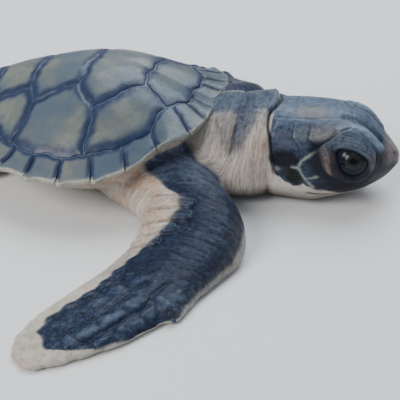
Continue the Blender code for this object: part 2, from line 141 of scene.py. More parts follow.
def note(obj, name, values):
    """Keep a value, or a direction, for each point, for the material to read."""
    kind = "FLOAT_VECTOR" if values.ndim == 2 else "FLOAT"
    kept = obj.data.attributes.new(name, kind, "POINT")
    kept.data.foreach_set("vector" if values.ndim == 2 else "value", values.ravel())


def smooth_faces(obj):
    """Shade a piece smooth."""
    bpy.ops.object.select_all(action="DESELECT")
    obj.select_set(True)
    bpy.context.view_layer.objects.active = obj
    bpy.ops.object.shade_smooth()


class Finish:
    """A new material with short calls for its nodes."""

    def __init__(self, name):
        self.material = bpy.data.materials.new(name)
        self.material.use_nodes = True
        self.nodes = self.material.node_tree.nodes
        self.links = self.material.node_tree.links
        self.shader = self.nodes["Principled BSDF"]

    def add(self, kind, inputs=(), **settings):
        """Add a node, with its settings, numbers and links."""
        made = self.nodes.new(kind)
        for key, value in settings.items():
            setattr(made, key, value)
        for key, value in dict(inputs).items():
            if isinstance(value, bpy.types.NodeSocket):
                self.links.new(value, made.inputs[key])
            else:
                made.inputs[key].default_value = value
        return made

    def places(self):
        """Places on the piece, in the model's own frame."""
        return self.add("ShaderNodeTexCoord").outputs["Object"]

    def kept(self, name, part="Fac"):
        """A value kept on the piece's points."""
        return self.add("ShaderNodeAttribute", attribute_name=name).outputs[part]

    def scaled(self, where, by):
        """Places stretched by a factor along each axis."""
        inputs = {0: where, 1: by}
        return self.add("ShaderNodeVectorMath", inputs, operation="MULTIPLY").outputs[0]

    def noise(self, where, cells, detail=3.0, rough=0.55, warp=0.0):
        """Noise with so many cells in a metre, or in a unit of a kept value."""
        inputs = {"Vector": where, "Scale": cells, "Detail": detail, "Roughness": rough}
        inputs["Distortion"] = warp
        return self.add("ShaderNodeTexNoise", inputs).outputs["Fac"]

    def sum(self, kind, a, b):
        """Join two values."""
        return self.add("ShaderNodeMath", {0: a, 1: b}, operation=kind).outputs[0]

    def centred(self, noise, reach):
        """Noise about 0, with a reach."""
        return self.sum("MULTIPLY", self.sum("SUBTRACT", noise, 0.5), reach)

    def span(self, value, low, high, to_low=0.0, to_high=1.0):
        """Carry a value smoothly from one span to another."""
        inputs = {0: value, 1: low, 2: high, 3: to_low, 4: to_high}
        made = self.add("ShaderNodeMapRange", inputs, interpolation_type="SMOOTHSTEP")
        return made.outputs[0]

    def blend(self, share, under, over, kind="MIX"):
        """Lay one colour over another."""
        mix = self.add("ShaderNodeMix", data_type="RGBA", blend_type=kind)
        for key, value in ((0, share), (6, under), (7, over)):
            if isinstance(value, bpy.types.NodeSocket):
                self.links.new(value, mix.inputs[key])
            elif key == 0:
                mix.inputs[key].default_value = value
            else:
                mix.inputs[key].default_value = (*value, 1.0)
        return mix.outputs[2]

    def shaded(self, share, under, shade):
        """Darken a colour by a shade."""
        return self.blend(share, under, shade, "MULTIPLY")

    def off_crease(self, value, middle, width):
        """0 on the thin lines where a value passes its middle, 1 away from them."""
        off = self.sum("ABSOLUTE", self.sum("SUBTRACT", value, middle), 0.0)
        return self.span(off, 0.0, width)

    def set(self, **values):
        """Give the shader its colour, roughness and bumps, linked or plain."""
        for key, value in values.items():
            socket = self.shader.inputs[key.replace("_", " ")]
            if isinstance(value, bpy.types.NodeSocket):
                self.links.new(value, socket)
            else:
                socket.default_value = value
        return self.material

    def bump(self, height, depth_mm, strength=1.0, after=None):
        """Bumps of a depth in millimetres."""
        inputs = {"Height": height, "Distance": depth_mm * MM, "Strength": strength}
        if after is not None:
            inputs["Normal"] = after
        return self.add("ShaderNodeBump", inputs).outputs["Normal"]


bed = ball("shell_bone", 128, 36)
_, polar, turn = ball_angles(bed)
share = BED_REACH * np.sin(polar) ** 0.9
radius = rim_radius(turn) * share
x, y = radius * np.cos(turn), radius * np.sin(turn)
upper = polar < EQUATOR
edge = np.sqrt(np.maximum(1 - (share / BED_REACH) ** 8, 0))
middle = dome(x, y) - BED_DROP - BED_THICK / 2
z = middle + np.where(upper, 1, -1) * BED_THICK / 2 * edge
move_points(bed, np.stack([x, y, z], 1))
smooth_faces(bed)

bone = Finish("bone_slate")
where = bone.places()
mottle = bone.noise(where, 400, 4.0)
fine = bone.noise(where, 1800, 3.0)
line = bone.blend(bone.span(mottle, 0.35, 0.7), (0.022, 0.042, 0.085), (0.045, 0.072, 0.125))
bone.set(
    Base_Color=line,
    Roughness=bone.span(fine, 0.3, 0.7, 0.3, 0.5),
    Normal=bone.bump(fine, 0.03),
)
bed.data.materials.append(bone.material)
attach(bed, "root")

# ---------------------------------------------------------------- horny plates of the carapace
# Thin plates of horn over the bone: a nuchal, five down the back, four on each flank and
# twelve round each side of the rim, olive grey with slate-blue borders and a cream rim.

NAPE_DIP = 0.10
NAPE_DIP_AT = 29
NAPE_DIP_SPREAD = 8
PLATE = 0.85
PLATE_INNER = 0.20
SEAM = 0.24
SEAM_SINK = 0.13
SEAM_ROUND = 0.22
PUFF = 0.34
PUFF_REACH = 0.55
RIM_ROUND = 0.5
RIM_RING = 0.83
ON_RIM = 0.972
TOOTH = 0.9
FAR = 99.0
NOTED_REACH = 9.0
# Seams between the marginals: angle from the nape on the rim, and on the ring inside it.
MARGINAL_SEAMS = (
    (9, 9), (20, 16), (31, 25), (45, 43), (57.5, 56), (70.5, 70), (84, 84), (98, 98),
    (112, 110), (126, 126), (141, 143), (158, 156), (180, 180),
)
# Plates of the back and the flank: corners in plan, then the stretch of the ring that they meet.
VERTEBRALS = (
    (((13.1, 6.3), (12.4, 0.0)), (0, 29)),
    (((12.4, 0.0), (13.1, 6.3), (5.6, 14.2), (1.2, 9.4), (1.3, 0.0)), None),
    (((1.3, 0.0), (1.2, 9.4), (-7.2, 12.2), (-9.5, 8.8), (-9.7, 0.0)), None),
    (((-9.7, 0.0), (-9.5, 8.8), (-16.6, 9.9), (-19.3, 6.3), (-19.3, 0.0)), None),
    (((-19.3, 0.0), (-19.3, 6.3)), (160, 180)),
)
COSTALS = (
    (((5.6, 14.2), (13.1, 6.3)), (29, 74)),
    (((-7.2, 12.2), (1.2, 9.4), (5.6, 14.2)), (74, 114)),
    (((-16.6, 9.9), (-9.5, 8.8), (-7.2, 12.2)), (114, 139)),
    (((-19.3, 6.3), (-16.6, 9.9)), (139, 160)),
)


def rim_place(angle_degrees, share, stand_out=0.0):
    """Place in plan at a share of the rim's radius, or a little further out."""
    angle = radians(angle_degrees)
    reach = float(rim_radius(np.array(angle))) * share + stand_out
    return reach * cos(angle), reach * sin(angle)


def border(first, last):
    """Inner border of the marginals between two angles; it dips beside the nape."""
    met = {inner for _, inner in MARGINAL_SEAMS} | {end for _, ends in COSTALS for end in ends}
    path = []
    for angle in sorted(met | {0, first, last}):
        if first <= angle <= last:
            share = RIM_RING - NAPE_DIP * bell(angle, NAPE_DIP_AT, NAPE_DIP_SPREAD)
            path.append(rim_place(angle, share))
    return path


def rim_path(first, last, toothed):
    """Outer edge of a marginal, from its rear corner to its front one."""
    path = []
    for share in np.linspace(1, 0, 15):
        angle = first + (last - first) * share
        tooth = TOOTH * float(step(0.52, 0.88, share) * (1 - step(0.9, 1.0, share)))
        path.append(rim_place(angle, 1.0, tooth * toothed))
    return path


def spaced(outline, count):
    """Points in even steps along a closed outline, its corners a little rounded."""
    corners = np.array(list(outline) + [outline[0]], float)
    if np.sum(corners[:-1, 0] * corners[1:, 1] - corners[1:, 0] * corners[:-1, 1]) < 0:
        corners = corners[::-1]
    run = np.r_[0, np.cumsum(np.hypot(*np.diff(corners, axis=0).T))]
    at = np.linspace(0, run[-1], 4 * count, endpoint=False)
    line = np.stack([np.interp(at, run, corners[:, k]) for k in (0, 1)], 1)
    near = max(1, round(SEAM_ROUND / (run[-1] / (4 * count))))
    kernel = range(-near, near + 1)
    for _ in range(2):
        line = sum(np.roll(line, k, 0) for k in kernel) / len(kernel)
    along = np.roll(line, -1, 0) - np.roll(line, 1, 0)
    inward = np.stack([-along[:, 1], along[:, 0]], 1) / np.hypot(*along.T)[:, None]
    return (line + inward * SEAM / 2)[::4]


def wander(x, y):
    """A slow sideways shift, the same for neighbours, that keeps the seams from being ruled."""
    calm = 1 - step(0.80, 0.97, rim_share(x, y))
    dx = 0.20 * np.sin(0.9 * y + 0.5 * x + 1.0) + 0.10 * np.sin(2.3 * y - 1.1 * x)
    dy = 0.20 * np.sin(0.8 * x - 0.6 * y + 2.0) + 0.10 * np.sin(2.1 * x + 1.3 * y)
    return x + calm * dx, y + calm * dy


def grow_plate(name, outline, look, segments, rings, seam_width):
    """Shape a ball into a plate within an outline, bowed over the bone."""
    obj = ball(name + "_horn", segments, rings)
    _, polar, turn = ball_angles(obj)
    line = spaced(outline, segments)
    spoke = np.round(turn % (2 * pi) / (2 * pi) * segments).astype(int) % segments
    middle = line.mean(0)
    share = np.sin(polar)
    plan = middle + (line[spoke] - middle) * share[:, None]
    on_rim = rim_share(line[:, 0], line[:, 1]) > ON_RIM
    gaps = np.hypot(plan[:, None, 0] - line[None, :, 0], plan[:, None, 1] - line[None, :, 1])
    from_seam = gaps[:, ~on_rim].min(1)
    from_rim = gaps[:, on_rim].min(1) if on_rim.any() else np.full(len(plan), FAR)
    x, y = wander(plan[:, 0], plan[:, 1])
    rise = PUFF * (1 - np.exp(-from_seam / PUFF_REACH)) - SEAM_SINK
    rise = rise + 0.05 * np.sin(0.9 * x + 1.7) * np.sin(1.1 * y + 0.6) * step(0.4, 2.0, from_seam)
    roll = PLATE / 2 * (1 - np.sqrt(1 - (1 - np.minimum(from_rim / RIM_ROUND, 1)) ** 2))
    upper = polar < EQUATOR
    inner_edge = -PLATE_INNER - (PLATE - PLATE_INNER) * step(0.0, 0.25, from_seam)
    low = np.minimum(inner_edge, -PLATE_INNER) + np.where(from_rim < FAR, roll, 0)
    top = np.minimum(rise - roll, PUFF)
    z = dome(x, y) + np.where(upper, top, np.minimum(low, top))
    move_points(obj, np.stack([x, y, z], 1))
    note(obj, "from_seam", np.minimum(from_seam / seam_width, NOTED_REACH))
    note(obj, "from_rim", np.minimum(from_rim, NOTED_REACH))
    note(obj, "under", np.where(upper, 0.0, 1.0) * (from_rim < 5))
    note(obj, "neckward", step(4, 22, x))
    smooth_faces(obj)
    obj.data.materials.append(look)
    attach(obj, "root")
    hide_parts(name)
    return obj


horn = Finish("carapace_horn_wet")
where = horn.places()
cloud = horn.noise(where, 130, 3.0)
blotch = horn.noise(where, 330, 4.0, 0.6)
speck = horn.noise(where, 1500, 3.0, 0.6)
grain = horn.noise(where, 5200, 3.0, 0.6)
shift = horn.centred(blotch, 0.9)
reach = horn.sum("ADD", horn.kept("from_seam"), shift)
body = horn.span(reach, 0.50, 1.75)
olive = horn.blend(horn.span(cloud, 0.35, 0.65), (0.062, 0.086, 0.112), (0.118, 0.128, 0.112))
worn = horn.sum("MULTIPLY", horn.span(cloud, 0.50, 0.62), horn.span(blotch, 0.42, 0.62))
olive = horn.blend(horn.sum("MULTIPLY", worn, 0.75), olive, (0.190, 0.190, 0.140))
olive = horn.blend(horn.span(blotch, 0.45, 0.75, 0.0, 0.6), olive, (0.060, 0.080, 0.110))
olive = horn.blend(horn.span(speck, 0.55, 0.72, 0.0, 0.35), olive, (0.06, 0.075, 0.08))
neckward = horn.kept("neckward")
olive = horn.shaded(horn.sum("MULTIPLY", neckward, 0.85), olive, (0.48, 0.60, 0.74))
slate = horn.blend(horn.span(blotch, 0.3, 0.7), (0.006, 0.014, 0.042), (0.013, 0.026, 0.068))
plate_colour = horn.blend(body, slate, olive)
rim_reach = horn.sum("ADD", horn.kept("from_rim"), horn.sum("MULTIPLY", shift, 0.6))
cream_share = horn.span(rim_reach, 0.05, 0.50, 1.0, 0.0)
cream_share = horn.sum("MULTIPLY", cream_share, horn.span(neckward, 0.4, 1.0, 1.0, 0.45))
cream = horn.blend(horn.span(speck, 0.4, 0.7), (0.36, 0.34, 0.28), (0.27, 0.25, 0.21))
plate_colour = horn.blend(cream_share, plate_colour, cream)
plate_colour = horn.blend(horn.kept("under"), plate_colour, cream)
fine_bump = horn.bump(grain, 0.012, 0.8)
dents = horn.bump(speck, 0.06, 0.7, fine_bump)
horn.set(
    Base_Color=plate_colour,
    Roughness=horn.span(speck, 0.3, 0.75, 0.36, 0.58),
    Normal=horn.bump(blotch, 0.10, 0.5, dents),
    Specular_IOR_Level=0.28,
    Coat_Weight=0.16,
    Coat_Roughness=0.18,
)


def both_halves(half):
    """Close a half outline across the midline."""
    half = [(x, abs(y)) for x, y in half]
    return half + [(x, -y) for x, y in reversed(half) if y > 0.01]


for number, (corners, stretch) in enumerate(VERTEBRALS, start=1):
    rear = border(*stretch) if stretch else []
    half = rear + list(corners) if number == 1 else list(corners) + rear
    grow_plate(f"vertebral_{number}", both_halves(half), horn.material, 128, 36, 1.0)
for number, (corners, stretch) in enumerate(COSTALS, start=1):
    outline = list(corners) + border(*stretch)
    grow_plate(f"costal_left_{number}", outline, horn.material, 128, 36, 1.0)
    mirrored = [(x, -y) for x, y in outline]
    grow_plate(f"costal_right_{number}", mirrored, horn.material, 128, 36, 1.0)
nape = border(0, 9) + rim_path(0, 9, False)
grow_plate("nuchal", both_halves(nape), horn.material, 80, 24, 0.6)
for number, (front, rear) in enumerate(zip(MARGINAL_SEAMS, MARGINAL_SEAMS[1:]), start=1):
    toothed = 60 < rear[0] < 179
    outline = border(front[1], rear[1]) + rim_path(front[0], rear[0], toothed)
    grow_plate(f"marginal_left_{number}", outline, horn.material, 96, 26, 0.55)
    mirrored = [(x, -y) for x, y in outline]
    grow_plate(f"marginal_right_{number}", mirrored, horn.material, 96, 26, 0.55)

# ---------------------------------------------------------------- plastron
# The flat belly shield that the animal rests on: cream horn in six pairs of plates with
# shallow seams between them. It is one closed piece under the trunk.

PLASTRON_SHARE = 0.58
PLASTRON_THICK = 1.5
PLASTRON_SEAMS = (13.0, 8.0, 1.5, -5.5, -12.0)
EDGE_SEAM_SHARE = 0.47
SEAM_DEPTH = 0.22

plastron = ball("plastron_shield", 160, 60)
_, polar, turn = ball_angles(plastron)
share = PLASTRON_SHARE * np.sin(polar)
radius = rim_radius(turn) * share
x, y = radius * np.cos(turn), radius * np.sin(turn)
edge = np.sqrt(np.maximum(1 - np.sin(polar) ** 10, 0))
z = PLASTRON_THICK / 2 * (1 + np.where(polar < EQUATOR, 1, -1) * edge)
cross = np.min([np.abs(x - seam - 0.015 * y ** 2) for seam in PLASTRON_SEAMS], axis=0)
seam_gap = np.minimum(cross, np.abs(y - 0.3 * np.sin(0.5 * x)))
seam_gap = np.minimum(seam_gap, np.abs(share - EDGE_SEAM_SHARE) * 27 + 3 * (np.abs(x) > 12))
groove = 1 - step(0.05, 0.45, seam_gap)
z = np.where(z < 0.5, z + SEAM_DEPTH * groove * (z < 0.2), z)
move_points(plastron, np.stack([x, y, z], 1))
note(plastron, "groove", groove)
smooth_faces(plastron)

belly = Finish("plastron_cream")
where = belly.places()
cloud = belly.noise(where, 150, 4.0)
speck = belly.noise(where, 1300, 3.0)
base = belly.blend(belly.span(cloud, 0.3, 0.7), (0.62, 0.56, 0.42), (0.52, 0.47, 0.37))
base = belly.blend(belly.span(speck, 0.5, 0.75, 0.0, 0.4), base, (0.38, 0.34, 0.28))
base = belly.blend(belly.kept("groove"), base, (0.30, 0.25, 0.20))
belly.set(
    Base_Color=base,
    Roughness=belly.span(speck, 0.3, 0.7, 0.42, 0.6),
    Normal=belly.bump(speck, 0.04),
)
plastron.data.materials.append(belly.material)
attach(plastron, "root")
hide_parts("plastron")

# ---------------------------------------------------------------- skin
# One scaly skin over trunk, neck, head, jaw, flippers and tail, slate above and cream below.
# Each part of the flesh starts as a ball drawn out along the sizes that its solid has, and all
# are melted into one surface.

# Stations of the flesh, in millimetres. Neck: forward, sideways, half width, top, bottom and
# height of the widest line.
NECK = (
    (15.0, 0.0, 12.5, 13.5, 2.2, 7.0),
    (21.0, -0.3, 12.2, 14.8, 1.2, 6.6),
    (26.0, -1.1, 12.7, 16.0, 0.2, 5.6),
    (30.5, -1.4, 12.3, 17.0, 0.0, 5.5),
    (34.2, -1.5, 11.8, 18.0, 0.0, 5.9),
    (36.2, -1.4, 11.1, 18.3, 0.0, 6.4),
    (37.6, -1.4, 10.0, 17.7, 0.4, 7.0),
    (39.0, -1.4, 7.0, 17.6, 3.0, 10.0),
)
# Head: forward, half width, top, bottom and height of the widest line.
HEAD = (
    (37.4, 9.3, 16.2, 0.4, 7.2),
    (38.4, 9.7, 16.8, 0.0, 6.8),
    (41.0, 9.8, 17.2, 0.0, 6.7),
    (44.5, 9.7, 17.4, -0.1, 7.0),
    (48.0, 9.1, 17.4, 0.1, 8.0),
    (51.5, 8.5, 17.0, 1.0, 8.9),
    (54.5, 7.4, 15.9, 2.1, 9.2),
    (57.0, 5.8, 13.5, 3.2, 9.0),
    (59.2, 4.0, 11.4, 4.7, 8.6),
    (60.6, 2.5, 10.1, 6.2, 8.4),
    (61.3, 1.1, 9.3, 7.4, 8.4),
)
HEAD_YAW = radians(-0.6)
HEAD_PIVOT = (37.4, -1.4)
# Front limb: out from the midline, leading edge, trailing edge, top, bottom, roundness, skew.
LIMB = (
    (11.0, 26.0, 3.0, 11.0, 2.5, 2.2, 0.0),
    (15.0, 29.5, 4.5, 10.6, 1.2, 2.2, 0.05),
    (18.0, 32.2, 7.4, 10.0, 0.5, 2.2, 0.15),
    (21.0, 34.6, 12.8, 9.2, 0.1, 2.2, 0.2),
    (24.0, 36.3, 17.0, 8.2, 0.0, 2.2, 0.2),
    (27.0, 37.1, 18.4, 7.0, 0.0, 2.2, 0.25),
    (30.0, 37.3, 18.6, 5.8, 0.0, 2.1, 0.3),
    (33.0, 36.8, 17.4, 4.9, 0.0, 2.0, 0.35),
    (37.0, 35.0, 15.8, 4.0, 0.0, 2.0, 0.35),
    (41.0, 32.5, 13.8, 3.4, 0.0, 2.0, 0.35),
    (44.6, 31.2, 12.0, 2.9, 0.0, 2.0, 0.3),
    (46.4, 29.0, 11.1, 2.7, 0.0, 2.0, 0.3),
    (49.3, 27.0, 9.7, 2.4, 0.0, 2.0, 0.3),
    (53.4, 23.4, 8.6, 2.0, 0.0, 2.0, 0.25),
    (56.4, 19.8, 8.8, 1.7, 0.0, 2.0, 0.15),
    (58.6, 16.8, 10.1, 1.3, 0.0, 2.0, 0.1),
    (59.8, 14.6, 12.0, 1.0, 0.0, 2.0, 0.0),
)
LIMB_EDGE = 0.35
LEFT_SWEEP = radians(20)
SHOULDER_PIVOT = (19.0, 13.0)
# Rear flipper: along it, half width, top.
REAR = (
    (0.0, 4.2, 6.0), (4.0, 4.6, 5.4), (8.0, 5.4, 4.0), (12.0, 6.4, 2.9), (16.0, 6.9, 2.3),
    (20.0, 6.4, 1.9), (23.0, 4.8, 1.6), (24.6, 2.4, 1.2),
)
REAR_ROOT = (-18.5, 12.0)
REAR_ANGLE = radians(142)
# Tail: forward, half width, top, bottom.
TAIL = (
    (-24.0, 3.4, 6.4, 1.2), (-28.0, 2.8, 5.2, 0.6), (-31.5, 1.9, 3.4, 0.1), (-34.5, 0.8, 1.5, 0.0),
)
EYE_RADIUS = 3.8
EYE_PLACE = (52.4, 5.6, 9.9)
NECK_MIDDLE = -1.4
BEHIND_FLIPPERS = -14
VOXEL = 0.58
EASE = 0.5
UNDER_PLATES = 0.84
UNDER_PLASTRON = 0.56
THINNED = 0.92


def body_section(half, top, bottom, widest, round_up, round_down, turn):
    """Places round a section of the body, one curve above its widest line, one below."""
    up = np.sin(turn) > 0
    power = 2 / np.where(up, round_up, round_down)
    height = np.where(up, top - widest, widest - bottom)
    across = half * np.sign(np.cos(turn)) * np.abs(np.cos(turn)) ** power
    return across, widest + height * np.sign(np.sin(turn)) * np.abs(np.sin(turn)) ** power


def drawn_out(name, form, segments=64, rings=72):
    """Draw a ball out into a form, given as places for shares of its length and turns."""
    obj = ball(name, segments, rings)
    start, polar, turn = ball_angles(obj)
    pole = np.hypot(start[:, 0], start[:, 1]) < 1e-4
    share = np.clip((polar / pi * rings - 1) / (rings - 2), 0, 1)
    places = form(share, turn)
    for end in (0, 1):
        ring = (np.abs(share - end) < 1e-4) & ~pole
        places[pole & (np.abs(share - end) < 1e-4)] = places[ring].mean(0)
    move_points(obj, places)
    return obj


def trunk_form(share, turn):
    """Belly, flank and the back under the bone."""
    rows = ((0.30, 1.8, 0), (0.59, 1.8, 0), (0.70, 3.0, 0), (0.81, 5.0, 0), (0.90, 1.8, 1),
            (0.93, 1.3, 1), (0.78, 2.0, 1), (0.5, 2.2, 1), (0.2, 2.2, 1))
    at = share * (len(rows) - 1)
    out = np.interp(at, range(len(rows)), [row[0] for row in rows])
    high = np.interp(at, range(len(rows)), [row[1] for row in rows])
    domed = np.interp(at, range(len(rows)), [row[2] for row in rows])
    x, y = (rim_radius(turn) * out * wave(turn) for wave in (np.cos, np.sin))
    return np.stack([x, y, domed * (dome(x, y) - high) + (1 - domed) * high], 1)


def neck_form(share, turn):
    """Neck, turning with the head at its front."""
    x, side, half, top, bottom, widest = through(NECK, share).T
    swing = HEAD_YAW * np.clip((x - 30) / 7.1, 0, 1)
    across, z = body_section(half, top, bottom, widest, 2.2, 3.2, turn)
    return np.stack([x - across * np.sin(swing), side + across * np.cos(swing), z], 1)


def on_head(x, y, z):
    """Carry places of the straight head to its turn on the neck."""
    dx = x - HEAD_PIVOT[0]
    return np.stack([HEAD_PIVOT[0] + dx * cos(HEAD_YAW) - y * sin(HEAD_YAW),
                     HEAD_PIVOT[1] + dx * sin(HEAD_YAW) + y * cos(HEAD_YAW), z], -1)


def head_form(share, turn):
    """Head and jaw with the swell of the lids."""
    x, half, top, bottom, widest = through(HEAD, share).T
    y, z = body_section(half, top, bottom, widest, 2.7, 3.1, turn)
    ex, ey, ez = EYE_PLACE
    swell = 0.75 * np.exp(-(((x - ex) / 4.6) ** 2 + ((z - ez) / 4.4) ** 2))
    return on_head(x, y + swell * np.clip(y / ey, -1, 1), z)


def limb_to_body(x, out, z, side):
    """Carry a place of the limb to its side; the left limb is swept further back."""
    if side < 0:
        return np.stack([x, -out, z], -1)
    dx, dy = x - SHOULDER_PIVOT[0], out - SHOULDER_PIVOT[1]
    return np.stack([SHOULDER_PIVOT[0] + dx * cos(LEFT_SWEEP) - dy * sin(LEFT_SWEEP),
                     SHOULDER_PIVOT[1] + dx * sin(LEFT_SWEEP) + dy * cos(LEFT_SWEEP), z], -1)


def limb_station(out):
    """Leading edge, trailing edge, top, bottom, roundness and skew at distances out."""
    outs = [row[0] for row in LIMB]
    return through(LIMB, np.interp(out, outs, range(len(outs))) / (len(outs) - 1))


def limb_form(side):
    """The whole front limb of one side."""
    def form(share, turn):
        out = LIMB[0][0] + (LIMB[-1][0] - LIMB[0][0]) * share
        _, lead, trail, top, bottom, rounded, skew = limb_station(out).T
        half = (lead - trail) / 2
        widest = bottom + np.maximum(LIMB_EDGE, 0.45 * (top - bottom - 3))
        across, z = body_section(half, top, bottom, widest, rounded, 3.4, turn)
        lift = (z - widest) * np.where(z > widest, 1 + skew * across / half, 1)
        return limb_to_body((lead + trail) / 2 + across, out, widest + lift, side)
    return form


def rear_form(side):
    """A rear flipper, spread back on the floor."""
    def form(share, turn):
        reach, half, top = through(REAR, share).T
        widest = np.maximum(0.35, 0.4 * (top - 2))
        across, z = body_section(half, top, 0 * top, widest, 2.0, 3.0, turn)
        x = REAR_ROOT[0] + reach * cos(REAR_ANGLE) - across * sin(REAR_ANGLE)
        y = REAR_ROOT[1] + reach * sin(REAR_ANGLE) + across * cos(REAR_ANGLE)
        return np.stack([x, side * y, z], 1)
    return form


def tail_form(share, turn):
    """Short tail under the rear of the shell."""
    x, half, top, bottom = through(TAIL, share).T
    across, z = body_section(half, top, bottom, (top + bottom) / 2, 2.0, 2.2, turn)
    return np.stack([x, across, z], 1)


flesh = [
    drawn_out("skin", trunk_form, 96, 60),
    drawn_out("neck_flesh", neck_form),
    drawn_out("head_flesh", head_form, 72, 90),
    drawn_out("right_limb_flesh", limb_form(-1), 64, 100),
    drawn_out("left_limb_flesh", limb_form(1), 64, 100),
    drawn_out("right_rear_flesh", rear_form(-1)),
    drawn_out("left_rear_flesh", rear_form(1)),
    drawn_out("tail_flesh", tail_form),
]
bpy.ops.object.select_all(action="DESELECT")
for obj in flesh:
    obj.select_set(True)
skin = flesh[0]
bpy.context.view_layer.objects.active = skin
bpy.ops.object.join()
melt = skin.modifiers.new("melt", "REMESH")
melt.mode = "VOXEL"
melt.voxel_size = VOXEL * MM
bpy.ops.object.modifier_apply(modifier=melt.name)


def edges_of(obj):
    """Pairs of joined points."""
    flat = np.empty(len(obj.data.edges) * 2, int)
    obj.data.edges.foreach_get("vertices", flat)
    return flat.reshape(-1, 2)


def relax(places, pairs, share, times):
    """Ease points towards the middle of their neighbours, each by its share."""
    count = np.bincount(pairs.ravel(), minlength=len(places))[:, None]
    for _ in range(times):
        total = np.zeros_like(places)
        for k in range(3):
            total[:, k] = np.bincount(pairs[:, 0], places[pairs[:, 1], k], len(places))
            total[:, k] += np.bincount(pairs[:, 1], places[pairs[:, 0], k], len(places))
        places = places + share[:, None] * (total / np.maximum(count, 1) - places)
    return places


def normals_of(obj):
    """Outward direction at each point."""
    flat = np.empty(len(obj.data.vertices) * 3)
    obj.data.vertex_normals.foreach_get("vector", flat)
    return flat.reshape(-1, 3)


places = points_of(skin) / MM
pairs = edges_of(skin)
places = relax(places, pairs, np.full(len(places), EASE), 6)
move_points(skin, places)

# Under the plates and the plastron the skin is never seen, so it is kept coarse there and on
# the plain undersides behind the head.
out_share = rim_share(places[:, 0], places[:, 1])
unseen = (out_share < UNDER_PLATES) & (places[:, 2] > 3.5)
unseen |= (out_share < UNDER_PLASTRON) & (places[:, 2] < 3.0)
unseen |= (normals_of(skin)[:, 2] < -0.75) & (places[:, 0] < 38)
hidden = skin.vertex_groups.new(name="hidden")
hidden.add([int(k) for k in np.flatnonzero(unseen)], 1.0, "REPLACE")
coarse = skin.modifiers.new("coarse", "DECIMATE")
coarse.vertex_group = "hidden"
coarse.vertex_group_factor = 1.0
coarse.ratio = 1 - THINNED * float(unseen.mean())
bpy.ops.object.select_all(action="DESELECT")
skin.select_set(True)
bpy.context.view_layer.objects.active = skin
bpy.ops.object.modifier_apply(modifier=coarse.name)


def in_limb_frame(p, side):
    """Carry places on the body back to the straight limb of one side: forward, outward."""
    if side < 0:
        return p[:, 0], -p[:, 1]
    dx, dy = p[:, 0] - SHOULDER_PIVOT[0], p[:, 1] - SHOULDER_PIVOT[1]
    return (SHOULDER_PIVOT[0] + dx * cos(LEFT_SWEEP) + dy * sin(LEFT_SWEEP),
            SHOULDER_PIVOT[1] - dx * sin(LEFT_SWEEP) + dy * cos(LEFT_SWEEP))


def in_head_frame(p):
    """Carry places on the body back to the straight head: forward, from its middle, up."""
    dx, dy = p[:, 0] - HEAD_PIVOT[0], p[:, 1] - HEAD_PIVOT[1]
    return np.stack([HEAD_PIVOT[0] + dx * cos(HEAD_YAW) + dy * sin(HEAD_YAW),
                     -dx * sin(HEAD_YAW) + dy * cos(HEAD_YAW), p[:, 2]], 1)


# Each lid follows its eye: a frame with the gaze as its axis, and the outline of the opening.
GAZE = np.array((-0.05, 0.90, 0.43)) / np.linalg.norm((-0.05, 0.90, 0.43))
EYE_FORWARD = np.array((0.9987, 0.045, 0.022))
EYE_UP = np.array((0.0, -0.431, 0.902))
ORBIT_REACH = 9
EYE_OPENING = ((-3.7, 1.85), (-2.1, 2.1), (-0.3, 1.75), (1.4, 1.05), (2.75, -0.1), (2.6, -1.5),
               (1.2, -2.8), (-0.6, -2.75), (-2.0, -1.4), (-3.0, 0.3))
EYE_FOLD = ((-6.0, 0.2), (-5.4, -1.8), (-3.7, -3.6), (-1.2, -4.4), (1.4, -4.2), (3.5, -2.6),
            (4.4, -0.4), (4.4, 1.5), (3.5, 3.2), (1.7, 4.7), (-0.4, 5.3), (-2.6, 4.6), (-4.2, 3.2),
            (-5.7, 2.0))


def closed_line(corners, count):
    """A smooth closed line through its corners."""
    wrapped = list(corners[-2:]) + list(corners) + list(corners[:3])
    at = np.linspace(2, 2 + len(corners), count, endpoint=False) / (len(wrapped) - 1)
    return through(wrapped, at)


def from_outline(corners, h):
    """Signed distance from an outline round the eye, place in its frame, distance from it."""
    mirrored = np.stack([h[:, 0], np.abs(h[:, 1]), h[:, 2]], 1) - np.array(EYE_PLACE)
    across, up, depth = (mirrored @ axis for axis in (EYE_FORWARD, EYE_UP, GAZE))
    line = closed_line(corners, 90)
    after = np.roll(line, -1, 0)
    gap = np.full(len(h), FAR)
    turns = np.zeros(len(h))
    near = np.flatnonzero((np.hypot(across, up) < ORBIT_REACH) & (depth > -1))
    for (ax, ay), (bx, by) in zip(line, after):
        px, py = across[near], up[near]
        share = np.clip(((px - ax) * (bx - ax) + (py - ay) * (by - ay))
                        / ((bx - ax) ** 2 + (by - ay) ** 2), 0, 1)
        gap[near] = np.minimum(
            gap[near], np.hypot(px - ax - share * (bx - ax), py - ay - share * (by - ay)))
        crosses = (ay > py) != (by > py)
        side = (bx - ax) * (py - ay) / np.where(by == ay, 1e-9, by - ay) + ax
        turns[near] += crosses & (px < side)
    gap = np.where(turns % 2 == 1, -gap, gap)
    return gap, across, up, depth, np.linalg.norm(mirrored, axis=1)


